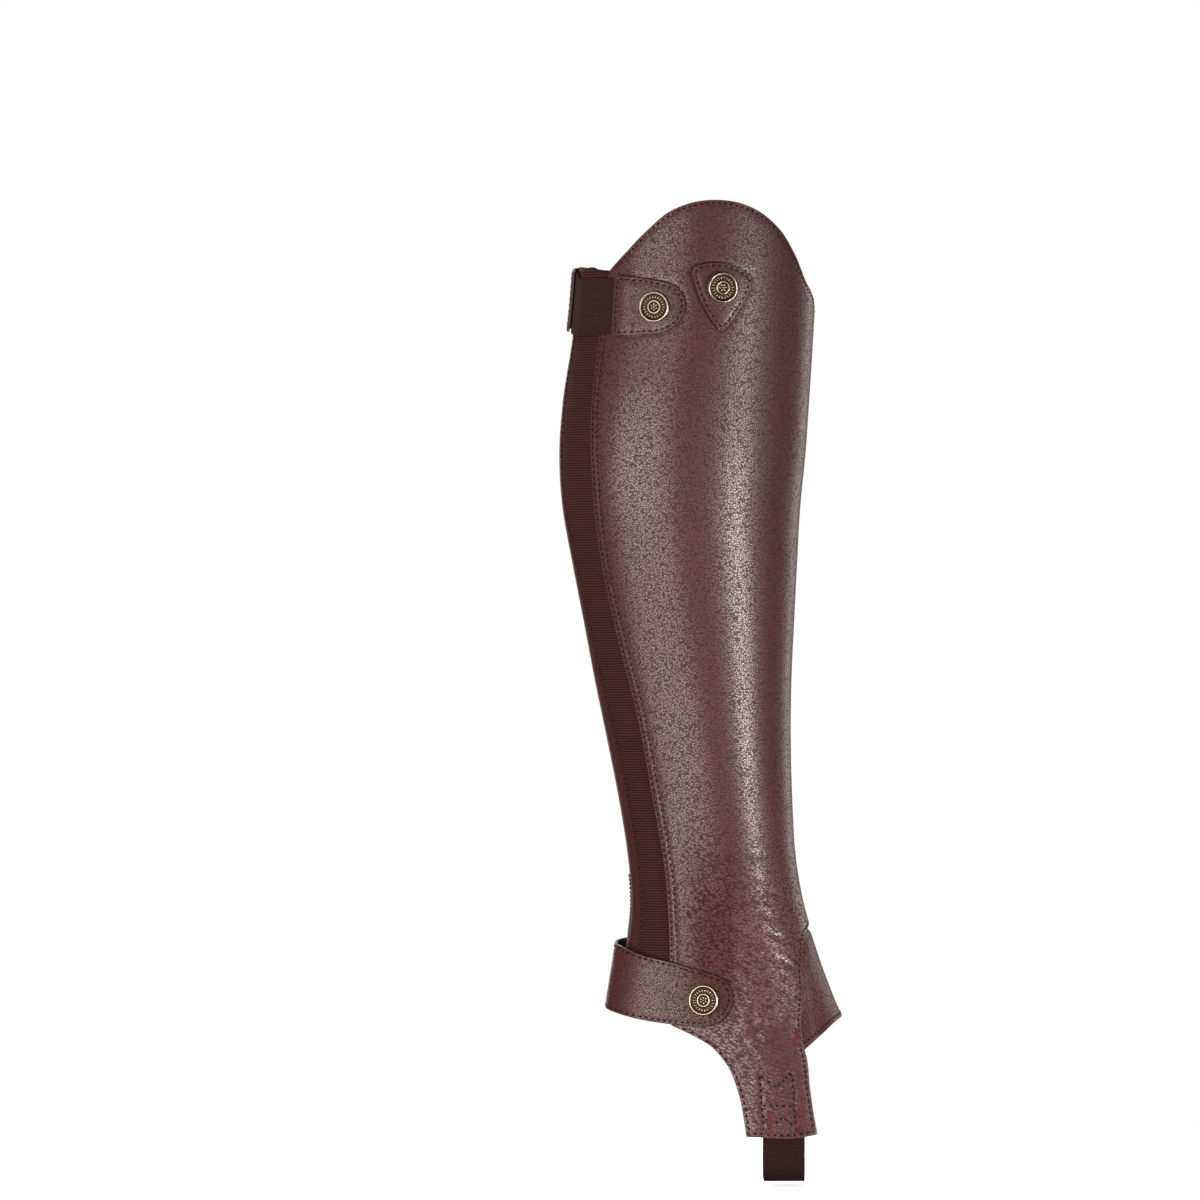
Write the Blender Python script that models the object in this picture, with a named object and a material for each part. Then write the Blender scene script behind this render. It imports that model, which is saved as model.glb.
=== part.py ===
"""Leather half chap for the right leg, zipped up the back and filled out as if it were worn.

Every piece of cloth is drawn on one hollow form, the leg that the chap is cut for, and lifted
off it by the height at which it lies: the leather at 0, what is sewn under it below, straps and
patches above. Lengths are in millimetres and become metres when a mesh is made.
+X points to the toe, -Y to the outer side of the leg and +Z up. The origin is the middle of
the hollow at the widest part of the calf, where the leg holds the chap.
"""
import math
from collections import namedtuple

import bmesh
import bpy
import numpy as np
from mathutils import Vector
from mathutils.geometry import delaunay_2d_cdt

MM = 0.001
OUTER, INNER = 1, -1

# Cloth thicknesses and the gap that stands for touching
LEATHER = 1.8
LINING = 1.0
ELASTIC = 1.2
STRAP = 1.6
GUSSET = 1.6
BADGE = 1.4
TAPE = 1.0
GAP = 0.3

# What is sewn under the leather lies this far below its inner face, clear of its facets
SEAM_GAP = 0.6
ZIP_GAP = 0.8

# How far one piece runs under another at a seam, and over how long it rises beside it
SEAM_RISE = 6.0
ELASTIC_TUCK = 8.0
GUSSET_TUCK = 6.0
STRAP_TUCK = 6.0
FACING_WIDTH = 8.0

# The zip up the middle of the back
ZIP_OPEN_HALF = 4.5
ZIP_TAPE_WIDTH = 12.0
ZIP_CHAIN_HALF = 2.6
ZIP_CHAIN_HEIGHT = 1.4
ZIP_TOP = 93.0
ZIP_BOTTOM = -286.0
SLIDER_TOP = -262.0
SLIDER_LENGTH = 10.0
SLIDER_HALF_WIDTH = 3.8
PULL_LENGTH = 20.0
PULL_LEAN_DEG = 7.5

# Snaps and the stirrup under the foot
CAP_RADIUS = 8.1
STIRRUP_BACK, STIRRUP_FRONT = 42.2, 63.5
STIRRUP_TOP_OUTER, STIRRUP_TOP_INNER = -341.0, -334.0
STIRRUP_BEND_TOP = -371.0
STIRRUP_BOTTOM = -383.0

# How finely the walls are divided
AROUND_STEP_DEG = 9.0
ROW_STEP, ROW_STEP_ANKLE, ANKLE_LEVEL = 15.0, 9.0, -215.0
EDGE_STEP = 7.0
LONGEST_EDGE = 10.0

# The leg form: an egg-shaped section at each level. Taper above 0 narrows the front.
Section = namedtuple("Section", "z back front half_width taper")
LEG = (
    Section(134.0, -53.0, 71.6, 57.0, 0.08),
    Section(94.0, -54.6, 70.4, 57.0, 0.08),
    Section(58.0, -58.0, 68.3, 57.0, 0.08),
    Section(26.0, -62.8, 66.2, 57.5, 0.08),
    Section(-2.0, -64.7, 64.3, 57.0, 0.07),
    Section(-30.0, -63.2, 61.6, 55.0, 0.05),
    Section(-58.0, -58.4, 59.9, 51.5, 0.02),
    Section(-90.0, -52.3, 58.2, 47.5, -0.02),
    Section(-121.0, -46.4, 56.9, 44.0, -0.05),
    Section(-152.0, -39.9, 56.6, 41.0, -0.08),
    Section(-184.0, -33.6, 57.3, 38.5, -0.11),
    Section(-215.0, -28.9, 59.3, 37.5, -0.14),
    Section(-236.0, -27.3, 63.0, 37.5, -0.16),
    Section(-257.0, -28.6, 69.0, 38.0, -0.18),
    Section(-278.0, -31.6, 76.3, 38.5, -0.20),
    Section(-296.0, -34.2, 84.0, 39.5, -0.20),
    Section(-330.0, -33.0, 112.0, 40.5, -0.10),
    Section(-372.0, -32.0, 124.0, 40.5, -0.05),
)

# Outlines as they are seen from the side, x towards the toe and z up
Seen = namedtuple("Seen", "x z")
OUTER_SEAM = (Seen(-38.9, 93.2), Seen(-44.1, 58.3), Seen(-48.0, 26.0), Seen(-48.6, 2.6),
              Seen(-47.8, -15.8), Seen(-43.1, -58.8), Seen(-33.8, -101.3), Seen(-25.7, -133.3),
              Seen(-17.3, -176.4), Seen(-9.6, -222.1), Seen(-7.4, -257.2), Seen(-6.3, -301.5))
OUTER_HEM = (Seen(-6.3, -301.5), Seen(4.7, -306.6), Seen(13.1, -311.3), Seen(21.5, -320.2),
             Seen(27.0, -331.5), Seen(30.6, -345.0), Seen(32.8, -359.6))
OUTER_TAB_END = (Seen(32.8, -359.6), Seen(63.3, -359.6), Seen(70.2, -358.0))
OUTER_TAB_FRONT = (Seen(70.2, -358.0), Seen(68.0, -346.0), Seen(66.2, -333.0), Seen(64.6, -318.0),
                   Seen(62.6, -309.8))
OUTER_GUSSET_SEAM = (Seen(62.6, -309.8), Seen(62.3, -290.0), Seen(62.3, -268.0), Seen(63.2, -256.0),
                     Seen(66.1, -247.5))
INNER_GUSSET_SEAM = (Seen(66.1, -247.5), Seen(63.0, -254.0), Seen(60.3, -264.0), Seen(58.7, -277.0),
                     Seen(58.5, -290.0), Seen(60.0, -308.0))
INNER_TAB_FRONT = (Seen(60.0, -308.0), Seen(63.4, -324.0), Seen(65.2, -339.0), Seen(66.4, -353.4))
INNER_TAB_END = (Seen(66.4, -353.4), Seen(33.4, -353.4))
INNER_HEM = (Seen(33.4, -353.4), Seen(32.0, -337.0), Seen(27.8, -323.5), Seen(20.5, -311.8),
             Seen(12.0, -304.2), Seen(-4.3, -296.3), Seen(-19.0, -292.2), Seen(-30.5, -290.2))
INNER_TOP = (Seen(-52.5, 96.1), Seen(-39.9, 94.6), Seen(-20.5, 89.4), Seen(5.2, 82.2),
             Seen(27.6, 75.9), Seen(49.7, 72.0), Seen(70.3, 70.6))
DOME = (Seen(70.3, 70.6), Seen(69.1, 76.7), Seen(64.0, 89.2), Seen(58.6, 101.9), Seen(50.9, 114.5),
        Seen(40.2, 123.9), Seen(29.2, 128.6), Seen(17.3, 130.0), Seen(5.3, 128.8), Seen(-7.4, 123.9),
        Seen(-18.9, 114.5), Seen(-31.0, 102.0), Seen(-38.9, 93.2))
ELASTIC_TOP = (Seen(-38.9, 92.6), Seen(-43.6, 92.9), Seen(-48.0, 95.4), Seen(-52.6, 94.0))
ELASTIC_HEM = (Seen(-33.2, -291.0), Seen(-22.6, -294.2), Seen(-12.1, -298.6), Seen(-6.3, -301.5))
GUSSET_HEM_OUTER = (Seen(62.6, -315.0), Seen(71.9, -306.6), Seen(80.3, -299.2), Seen(84.0, -295.8))
GUSSET_HEM_INNER = (Seen(84.0, -295.8), Seen(79.0, -299.4), Seen(70.0, -306.0), Seen(60.5, -312.6))
STRAP_BASE_FRONT = (Seen(-48.0, 95.2), Seen(-32.6, 93.6), Seen(-24.9, 89.6), Seen(-21.6, 82.0),
                    Seen(-22.6, 74.2), Seen(-28.0, 65.8), Seen(-35.9, 61.6), Seen(-48.0, 63.4))
STRAP_TAB_FRONT = (Seen(-34.8, 90.6), Seen(-16.4, 88.4), Seen(-3.6, 84.4), Seen(1.0, 76.4),
                   Seen(-0.9, 68.4), Seen(-8.4, 61.6), Seen(-21.7, 59.6), Seen(-36.8, 58.8))
SHIELD_TOP = (Seen(5.6, 95.2), Seen(13.9, 97.2), Seen(23.0, 96.6), Seen(34.8, 91.6))
SHIELD_FRONT = (Seen(36.3, 88.6), Seen(31.6, 77.0), Seen(25.2, 66.9), Seen(20.6, 61.9))
SHIELD_BACK = (Seen(18.2, 62.2), Seen(14.4, 67.4), Seen(8.6, 78.4), Seen(4.3, 91.4))
ANKLE_STRAP_TOP = (Seen(-21.0, -264.7), Seen(-5.8, -268.6), Seen(11.6, -273.5))
ANKLE_STRAP_END = (Seen(11.6, -273.5), Seen(21.4, -277.6), Seen(25.7, -285.4), Seen(23.8, -293.8),
                   Seen(17.6, -300.0), Seen(9.0, -301.8))
ANKLE_STRAP_BOTTOM = (Seen(9.0, -301.8), Seen(-8.4, -300.6), Seen(-21.0, -298.7))

# Straps where they cross the back: u runs round from the middle of the back to the inner side
Station = namedtuple("Station", "u top bottom")
TOP_STRAP_BACK = (Station(10.0, 95.6, 64.2), Station(0.0, 93.0, 62.0), Station(-10.0, 90.2, 60.2))
ANKLE_STRAP_BACK = (Station(17.0, -254.6, -289.0), Station(8.0, -257.0, -291.0),
                    Station(0.0, -259.2, -293.0), Station(-9.0, -260.8, -294.8))

# Places of the snap caps, seen from the side
TOP_CAP = Seen(-15.6, 74.0)
BADGE_CAP = Seen(20.7, 84.2)
ANKLE_CAP = Seen(10.3, -288.2)

# Colours as linear RGB with roughness and metallic
Look = namedtuple("Look", "colour roughness metallic")
LOOKS = {
    "brown_leather": Look((0.105, 0.040, 0.034), 0.45, 0.0),
    "suede": Look((0.095, 0.028, 0.018), 0.95, 0.0),
    "dark_elastic": Look((0.022, 0.008, 0.007), 0.85, 0.0),
    "dark_tape": Look((0.016, 0.008, 0.009), 0.8, 0.0),
    "zip_metal": Look((0.30, 0.20, 0.10), 0.35, 1.0),
    "antique_brass": Look((0.33, 0.22, 0.10), 0.4, 1.0),
}


def hermite(at, knots, values):
    """Smooth curve through a table: values at the knots, with slopes from their neighbours."""
    slopes = np.gradient(values, knots)
    at = np.clip(at, knots[0], knots[-1])
    index = np.clip(np.searchsorted(knots, at) - 1, 0, len(knots) - 2)
    span = knots[index + 1] - knots[index]
    t = (at - knots[index]) / span
    return ((2 * t**3 - 3 * t**2 + 1) * values[index] + (t**3 - 2 * t**2 + t) * span * slopes[index]
            + (3 * t**2 - 2 * t**3) * values[index + 1] + (t**3 - t**2) * span * slopes[index + 1])


def smoothstep(value):
    """Runs from 0 to 1 with level ends as value runs from 0 to 1."""
    t = np.clip(value, 0.0, 1.0)
    return t * t * (3 - 2 * t)


class LegForm:
    """The hollow form, with a chart on it: arc length round from the shin, and height."""

    def __init__(self, sections):
        rows = sorted(sections)
        self.levels = np.array([row.z for row in rows])
        self.columns = {name: np.array([getattr(row, name) for row in rows])
                        for name in ("back", "front", "half_width", "taper")}
        self.angles = np.radians(np.arange(-225.0, 225.5, 1.5))
        self.heights = np.arange(self.levels[0], self.levels[-1] + 1, 3.0)
        ring = np.array([self.skin(self.angles, np.full_like(self.angles, z)) for z in self.heights])
        steps = np.linalg.norm(np.diff(ring[:, :, :2], axis=1), axis=2)
        arcs = np.concatenate([np.zeros((len(self.heights), 1)), np.cumsum(steps, axis=1)], axis=1)
        self.arcs = arcs - arcs[:, [len(self.angles) // 2]]

    def section(self, z):
        """Centre, half depth, half width and taper of the section at a level."""
        back, front, half_width, taper = (
            hermite(z, self.levels, self.columns[name]) for name in ("back", "front", "half_width", "taper"))
        return (back + front) / 2, (front - back) / 2, half_width, taper

    def skin(self, angle, z):
        centre, depth, width, taper = self.section(z)
        return np.stack([centre + depth * np.cos(angle),
                         -width * np.sin(angle) * (1 - taper * np.cos(angle)), z], axis=-1)

    def normal(self, angle, z):
        tiny = 1e-3
        round_it = self.skin(angle + tiny, z) - self.skin(angle - tiny, z)
        up_it = self.skin(angle, z + tiny) - self.skin(angle, z - tiny)
        out = np.cross(up_it, round_it)
        return out / np.linalg.norm(out, axis=-1, keepdims=True)

    def arc(self, angle, z):
        row = np.clip((z - self.heights[0]) / 3.0, 0, len(self.heights) - 1.001)
        low = int(row)
        blend = self.arcs[low] * (low + 1 - row) + self.arcs[low + 1] * (row - low)
        return float(np.interp(angle, self.angles, blend))

    def angle(self, arc, z):
        row = np.clip((z - self.heights[0]) / 3.0, 0, len(self.heights) - 1.001)
        low = int(row)
        blend = self.arcs[low] * (low + 1 - row) + self.arcs[low + 1] * (row - low)
        return float(np.interp(arc, blend, self.angles))

    def place(self, chart, height):
        """World points in millimetres of chart points lifted off the form by height."""
        chart = np.asarray(chart, float)
        angle = np.array([self.angle(s, z) for s, z in chart])
        lift = np.broadcast_to(height, angle.shape)[:, None]
        return self.skin(angle, chart[:, 1]) + self.normal(angle, chart[:, 1]) * lift

    def seen(self, spot, side, height=0.0):
        """Chart point of a spot given as it is seen from the side, at a height off the form."""
        centre, depth, _, _ = self.section(np.array(spot.z))
        angle = math.acos(float(np.clip((spot.x - centre) / depth, -1, 1)))
        for _ in range(3 if height else 0):
            lift = height * self.normal(np.array(side * angle), np.array(spot.z))[0]
            angle = math.acos(float(np.clip((spot.x - lift - centre) / depth, -1, 1)))
        return self.arc(side * angle, spot.z), spot.z

    def half_girth(self, z):
        """Arc length from the shin to the middle of the back."""
        return self.arc(math.pi, z)


FORM = LegForm(LEG)


def curve(points, step=EDGE_STEP):
    """A smooth run through chart points, with a point about every step along it."""
    points = np.asarray(points, float)
    length = np.concatenate([[0.0], np.cumsum(np.linalg.norm(np.diff(points, axis=0), axis=1))])
    count = max(1, round(length[-1] / step))
    at = np.linspace(0, length[-1], count + 1)
    if len(points) == 2:
        return np.stack([np.interp(at, length, points[:, i]) for i in (0, 1)], axis=1)
    return np.stack([hermite(at, length, points[:, i]) for i in (0, 1)], axis=1)


def seen_run(spots, side, step=EDGE_STEP, height=0.0):
    """A smooth run through spots given as they are seen from one side."""
    return curve([FORM.seen(spot, side, height) for spot in spots], step)


def back_run(u, top, bottom, step=9.5, side=OUTER):
    """A run down the back at a distance u from its middle, u above 0 being on the inner side."""
    levels = np.linspace(top, bottom, max(2, round(abs(top - bottom) / step) + 1))
    return np.array([(side * FORM.half_girth(z) + u, z) for z in levels])


def outline(*runs):
    """Joins runs into one closed outline, without shared points and without long straight edges."""
    points = []
    for point in np.concatenate([np.asarray(run, float) for run in runs]):
        if not points or np.hypot(*(point - points[-1])) > 0.4:
            points.append(point)
    if np.hypot(*(points[0] - points[-1])) <= 0.4:
        points.pop()
    divided = []
    for start, end in zip(points, points[1:] + points[:1]):
        pieces = max(1, math.ceil(np.hypot(*(end - start)) / LONGEST_EDGE - 0.001))
        divided += [start + (end - start) * i / pieces for i in range(pieces)]
    return np.array(divided)


def moved_in(run, distance):
    """A run moved sideways, to the right of its direction of travel."""
    ahead = np.gradient(run, axis=0)
    ahead /= np.linalg.norm(ahead, axis=1, keepdims=True)
    return run + np.stack([ahead[:, 1], -ahead[:, 0]], axis=1) * distance


def inside(points, polygon):
    """Which points lie inside a closed outline."""
    x, y = points[:, 0][:, None], points[:, 1][:, None]
    x0, y0 = polygon[:, 0], polygon[:, 1]
    x1, y1 = np.roll(x0, -1), np.roll(y0, -1)
    crosses = (y0 > y) != (y1 > y)
    with np.errstate(divide="ignore", invalid="ignore"):
        left = x < (x1 - x0) * (y - y0) / (y1 - y0) + x0
    return (crosses & left).sum(axis=1) % 2 == 1


def distance_to(points, polygon):
    """Distance from each point to the nearest edge of a closed outline."""
    start, end = polygon, np.roll(polygon, -1, axis=0)
    edge = end - start
    offset = points[:, None, :] - start
    along = np.clip((offset * edge).sum(-1) / np.maximum((edge * edge).sum(-1), 1e-12), 0, 1)
    return np.linalg.norm(offset - along[..., None] * edge, axis=-1).min(axis=1)


def lattice(around_step):
    """The grid that all walls share, so that pieces lying on each other are faceted alike."""
    low = np.arange(ANKLE_LEVEL, FORM.levels[0], -ROW_STEP_ANKLE)[::-1]
    high = np.arange(ANKLE_LEVEL + ROW_STEP, FORM.levels[-1], ROW_STEP)
    angles = np.radians(np.arange(-216, 216 + around_step / 2, around_step))
    return np.array([(FORM.arc(angle, z), z) for z in np.concatenate([low, high]) for angle in angles])


LATTICES = {}


def new_object(name, mesh, look):
    """Links a mesh as an object with a material of its own."""
    material = bpy.data.materials.new(f"{name}_{look}")
    material.use_nodes = True
    shader = material.node_tree.nodes["Principled BSDF"]
    shader.inputs["Base Color"].default_value = (*LOOKS[look].colour, 1.0)
    shader.inputs["Roughness"].default_value = LOOKS[look].roughness
    shader.inputs["Metallic"].default_value = LOOKS[look].metallic
    mesh.materials.append(material)
    mesh.shade_smooth()
    mesh.set_sharp_from_angle(angle=math.radians(35))
    obj = bpy.data.objects.new(name, mesh)
    bpy.context.collection.objects.link(obj)
    return obj


def closed_mesh(name, vertices, faces):
    """A mesh in metres from points in millimetres, with its faces turned outwards."""
    work = bmesh.new()
    verts = [work.verts.new(Vector(point) * MM) for point in vertices]
    for face in faces:
        work.faces.new([verts[index] for index in face])
    bmesh.ops.recalc_face_normals(work, faces=work.faces)
    if work.calc_volume(signed=True) < 0:
        bmesh.ops.reverse_faces(work, faces=work.faces)
    mesh = bpy.data.meshes.new(name)
    work.to_mesh(mesh)
    work.free()
    return mesh


def filled(edge, extra, window=()):
    """Triangles that fill a flat outline through the extra points, clear of its window."""
    loops = [edge] + ([np.array(window)] if len(window) else [])
    edges, start = [], 0
    for loop in loops:
        edges += [(start + i, start + (i + 1) % len(loop)) for i in range(len(loop))]
        start += len(loop)
    flat = np.concatenate(loops + ([extra] if len(extra) else []))
    points, _, triangles, _, _, _ = delaunay_2d_cdt(
        [Vector(point) for point in flat], edges, [], 0, 1e-6, False)
    assert len(points) == len(flat), f"an outline of {len(edge)} corners crosses itself"
    chart = np.array([tuple(point) for point in points])
    middles = np.array([chart[list(face)].mean(axis=0) for face in triangles])
    keep = inside(middles, edge)
    if len(window):
        keep &= ~inside(middles, np.array(window))
    return chart, [tuple(face) for face, kept in zip(triangles, keep) if kept]


def two_sided(vertices_front, vertices_back, triangles):
    """Vertices and faces of the closed solid between two copies of one triangulation."""
    count = len(vertices_front)
    sides = {(a, b) for face in triangles for a, b in zip(face, face[1:] + face[:1])}
    faces = list(triangles) + [tuple(index + count for index in reversed(face)) for face in triangles]
    faces += [(b, a, a + count, b + count) for a, b in sorted(sides) if (b, a) not in sides]
    return np.concatenate([vertices_front, vertices_back]), faces


def wall(name, edge, outer, thickness, look, around_step=AROUND_STEP_DEG, across=()):
    """A closed wall of cloth inside an outline; outer gives the height of its outer face.

    A run given in across is divided along too, such as an edge that the wall passes under.
    """
    if around_step not in LATTICES:
        LATTICES[around_step] = lattice(around_step)
    grid = LATTICES[around_step]
    low, high = edge.min(axis=0), edge.max(axis=0)
    grid = grid[((grid > low) & (grid < high)).all(axis=1)]
    grid = grid[inside(grid, edge)] if len(grid) else grid
    clear = 0.35 * min(ROW_STEP_ANKLE, math.radians(around_step) * 50)
    for run in across:
        run = run[inside(run, edge)]
        run = run[distance_to(run, edge) > clear / 2]
        near = np.linalg.norm(grid[:, None] - run[None], axis=2).min(axis=1)
        grid = np.concatenate([grid[near > clear], run])
    grid = grid[distance_to(grid, edge) > clear / 2] if len(across) else grid
    grid = grid[distance_to(grid, edge) > clear] if len(grid) and not across else grid
    chart, triangles = filled(edge, grid)
    height = outer(chart) if callable(outer) else np.full(len(chart), float(outer))
    vertices, faces = two_sided(FORM.place(chart, height), FORM.place(chart, height - thickness), triangles)
    return new_object(name, closed_mesh(name, vertices, faces), look)


def main_runs():
    """The edges of the leather, in order: down the outer seam, round the foot, up the back, over."""
    back_top, back_bottom = INNER_TOP[0].z, INNER_HEM[-1].z
    return {
        "seam": seen_run(OUTER_SEAM, OUTER, 9.5),
        "outer_hem": seen_run(OUTER_HEM, OUTER),
        "outer_tab_end": seen_run(OUTER_TAB_END, OUTER, 12.0),
        "outer_tab_front": seen_run(OUTER_TAB_FRONT, OUTER),
        "outer_gusset": seen_run(OUTER_GUSSET_SEAM, OUTER),
        "inner_gusset": seen_run(INNER_GUSSET_SEAM, INNER),
        "inner_tab_front": seen_run(INNER_TAB_FRONT, INNER),
        "inner_tab_end": seen_run(INNER_TAB_END, INNER, 12.0),
        "inner_hem": seen_run(INNER_HEM, INNER),
        "back": back_run(ZIP_OPEN_HALF, back_bottom + 0.6, back_top, side=INNER),
        "inner_top": seen_run(INNER_TOP, INNER),
        "dome": seen_run(DOME, OUTER),
    }


MAIN = main_runs()
MAIN_EDGE = outline(*MAIN.values())


def sewn_under(raised):
    """Height of a piece whose edge lies under the leather and which rises to raised beside it."""
    under = -(LEATHER + SEAM_GAP)

    def height(chart):
        beyond = np.where(inside(chart, MAIN_EDGE), 0.0, distance_to(chart, MAIN_EDGE))
        return under + (raised - under) * smoothstep((beyond - 0.5) / (SEAM_RISE - 0.5))
    return height


def build_main_panel():
    """The leather in one piece, from the elastic at the outer back round the shin to the zip."""
    wall("main_panel", MAIN_EDGE, 0.0, LEATHER, "brown_leather")


def build_lining():
    """Suede lining inside the leather, clear of the seams, facing and tabs."""
    hem_outer = MAIN["outer_hem"][MAIN["outer_hem"][:, 1] > -316.0]
    hem_inner = MAIN["inner_hem"][MAIN["inner_hem"][:, 1] > -312.0]
    seam_tuck = ELASTIC_TUCK + 1.0
    gusset_tuck = GUSSET_TUCK + 1.2
    tape_tuck = ZIP_TAPE_WIDTH + 0.8
    back = MAIN["back"][1:-1]
    seam = moved_in(MAIN["seam"], seam_tuck)
    edge = outline(
        seam[(seam[:, 1] < 84.0) & (seam[:, 1] > -292.0)],
        moved_in(hem_outer, 2.0)[1:],
        moved_in(MAIN["outer_gusset"], gusset_tuck)[1:-2],
        [(0.0, INNER_GUSSET_SEAM[0].z + gusset_tuck)],
        moved_in(MAIN["inner_gusset"], gusset_tuck)[2:-1],
        moved_in(hem_inner, 2.0)[:-2],
        back[(back[:, 1] > -284.0) & (back[:, 1] < 84.0)] + (tape_tuck - ZIP_OPEN_HALF, 0.0),
        moved_in(MAIN["inner_top"], (FACING_WIDTH + 0.8))[3:-1],
        moved_in(MAIN["dome"], (FACING_WIDTH + 0.8))[1:-3],
    )
    wall("lining", edge, -(LEATHER + SEAM_GAP), LINING, "suede")


def build_dome_facing():
    """Dark tape along the inside of the top edge."""
    top = np.concatenate([moved_in(MAIN["inner_top"], 0.6)[3:-1], moved_in(MAIN["dome"], 0.6)[1:-2]])
    low = np.concatenate([moved_in(MAIN["inner_top"], FACING_WIDTH)[3:-1],
                          moved_in(MAIN["dome"], FACING_WIDTH)[1:-2]])
    wall("dome_facing", outline(top, low[::-1]), -(LEATHER + SEAM_GAP), LINING, "dark_tape")


def build_elastic_panel():
    """The stretch panel of the outer back, sewn under the leather and beside the zip."""
    tucked = moved_in(MAIN["seam"], ELASTIC_TUCK)
    tucked = tucked[(tucked[:, 1] < 88.0) & (tucked[:, 1] > -296.0)]
    top = seen_run(ELASTIC_TOP, OUTER)
    corner = top[0] - (ELASTIC_TUCK, 0.0)
    hem = seen_run(ELASTIC_HEM, OUTER)
    edge = outline([corner], tucked, [hem[-1] - (ELASTIC_TUCK - 1.0, 1.5)], hem[::-1][:-1],
                   back_run(-ZIP_OPEN_HALF, ELASTIC_HEM[0].z + 0.4, ELASTIC_TOP[-1].z),
                   top[::-1][1:])
    wall("elastic_panel", edge, sewn_under(-0.5), ELASTIC, "dark_elastic",
         across=(MAIN["seam"], moved_in(MAIN["seam"], -SEAM_RISE)))


def build_gusset():
    """The instep piece that fills the front of the ankle between the two seams."""
    outer_seam = moved_in(MAIN["outer_gusset"], GUSSET_TUCK)[:-2]
    inner_seam = moved_in(MAIN["inner_gusset"], GUSSET_TUCK)[2:]
    outer_hem = seen_run(GUSSET_HEM_OUTER, OUTER)
    inner_hem = seen_run(GUSSET_HEM_INNER, INNER)
    tip = np.array((0.0, INNER_GUSSET_SEAM[0].z + GUSSET_TUCK - 1.5))
    outer_corner = outer_hem[0] + (GUSSET_TUCK - 1.5, 0.0)
    inner_corner = inner_hem[-1] - (GUSSET_TUCK - 1.5, 0.0)
    edge = outline([outer_corner], outer_seam[1:], [tip], inner_seam[:-1], [inner_corner],
                   inner_hem[::-1], outer_hem[::-1])
    wall("instep_gusset", edge, sewn_under(-0.6), GUSSET, "brown_leather",
         across=(MAIN["outer_gusset"], MAIN["inner_gusset"]))


def strip(near, far, top, bottom):
    """Outline of an upright strip at the back between two distances from its middle."""
    return outline(back_run(near, top, bottom), back_run(far, bottom, top))


def build_zip():
    """Zip tapes, the closed chain, the slider at its foot and the pull that hinges on it."""
    under = -(LEATHER + ZIP_GAP)
    for name, side in (("zip_tape_inner", 1), ("zip_tape_outer", -1)):
        near, far = side * GAP / 2, side * (GAP / 2 + ZIP_TAPE_WIDTH)
        wall(name, strip(near, far, ZIP_TOP, ZIP_BOTTOM), under, TAPE, "dark_tape", 6.0)
    wall("zip_chain", strip(-ZIP_CHAIN_HALF, ZIP_CHAIN_HALF, ZIP_TOP - 3.0, ZIP_BOTTOM + 2.0),
         under + SEAM_GAP + ZIP_CHAIN_HEIGHT, ZIP_CHAIN_HEIGHT, "dark_tape", 6.0)
    build_slider()
    build_pull()


def back_frame(z):
    """Origin on the middle of the back, and unit vectors out of it, down it and across it."""
    origin = FORM.place([(FORM.half_girth(z), z)], 0.0)[0]
    lower = FORM.place([(FORM.half_girth(z - 20), z - 20)], 0.0)[0]
    down = (lower - origin) / np.linalg.norm(lower - origin)
    across = np.array((0.0, 1.0, 0.0))
    out = np.cross(down, across)
    return origin, out * -math.copysign(1.0, out[0]), down, across


def prism(name, profile, first, second, along, origin, start, end, window=()):
    """A closed prism from a flat profile, with one window through it if that is given."""
    points, triangles = filled(np.array(profile), (), window)
    flat = points[:, :1] * first + points[:, 1:] * second + origin
    vertices, faces = two_sided(flat + along * start, flat + along * end, triangles)
    return closed_mesh(name, vertices, faces)


# The slider, in its own frame: across the back, out of it, and down from its top end
SLIDER_PLATE_TOP = 1.2
SLIDER_FLANGE = 0.8
BRIDGE_START, BRIDGE_END, BRIDGE_TOP = 1.5, 8.5, 4.4
BRIDGE_LEG, BRIDGE_HALF_WIDTH = 1.0, 1.1
PULL_THICKNESS, PULL_HALF_WIDTH, PULL_BAR = 1.2, 3.5, 1.4
HINGE_OUT = SLIDER_PLATE_TOP + 1.25
HINGE_DOWN = BRIDGE_END - BRIDGE_LEG - GAP - PULL_BAR / 2


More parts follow.
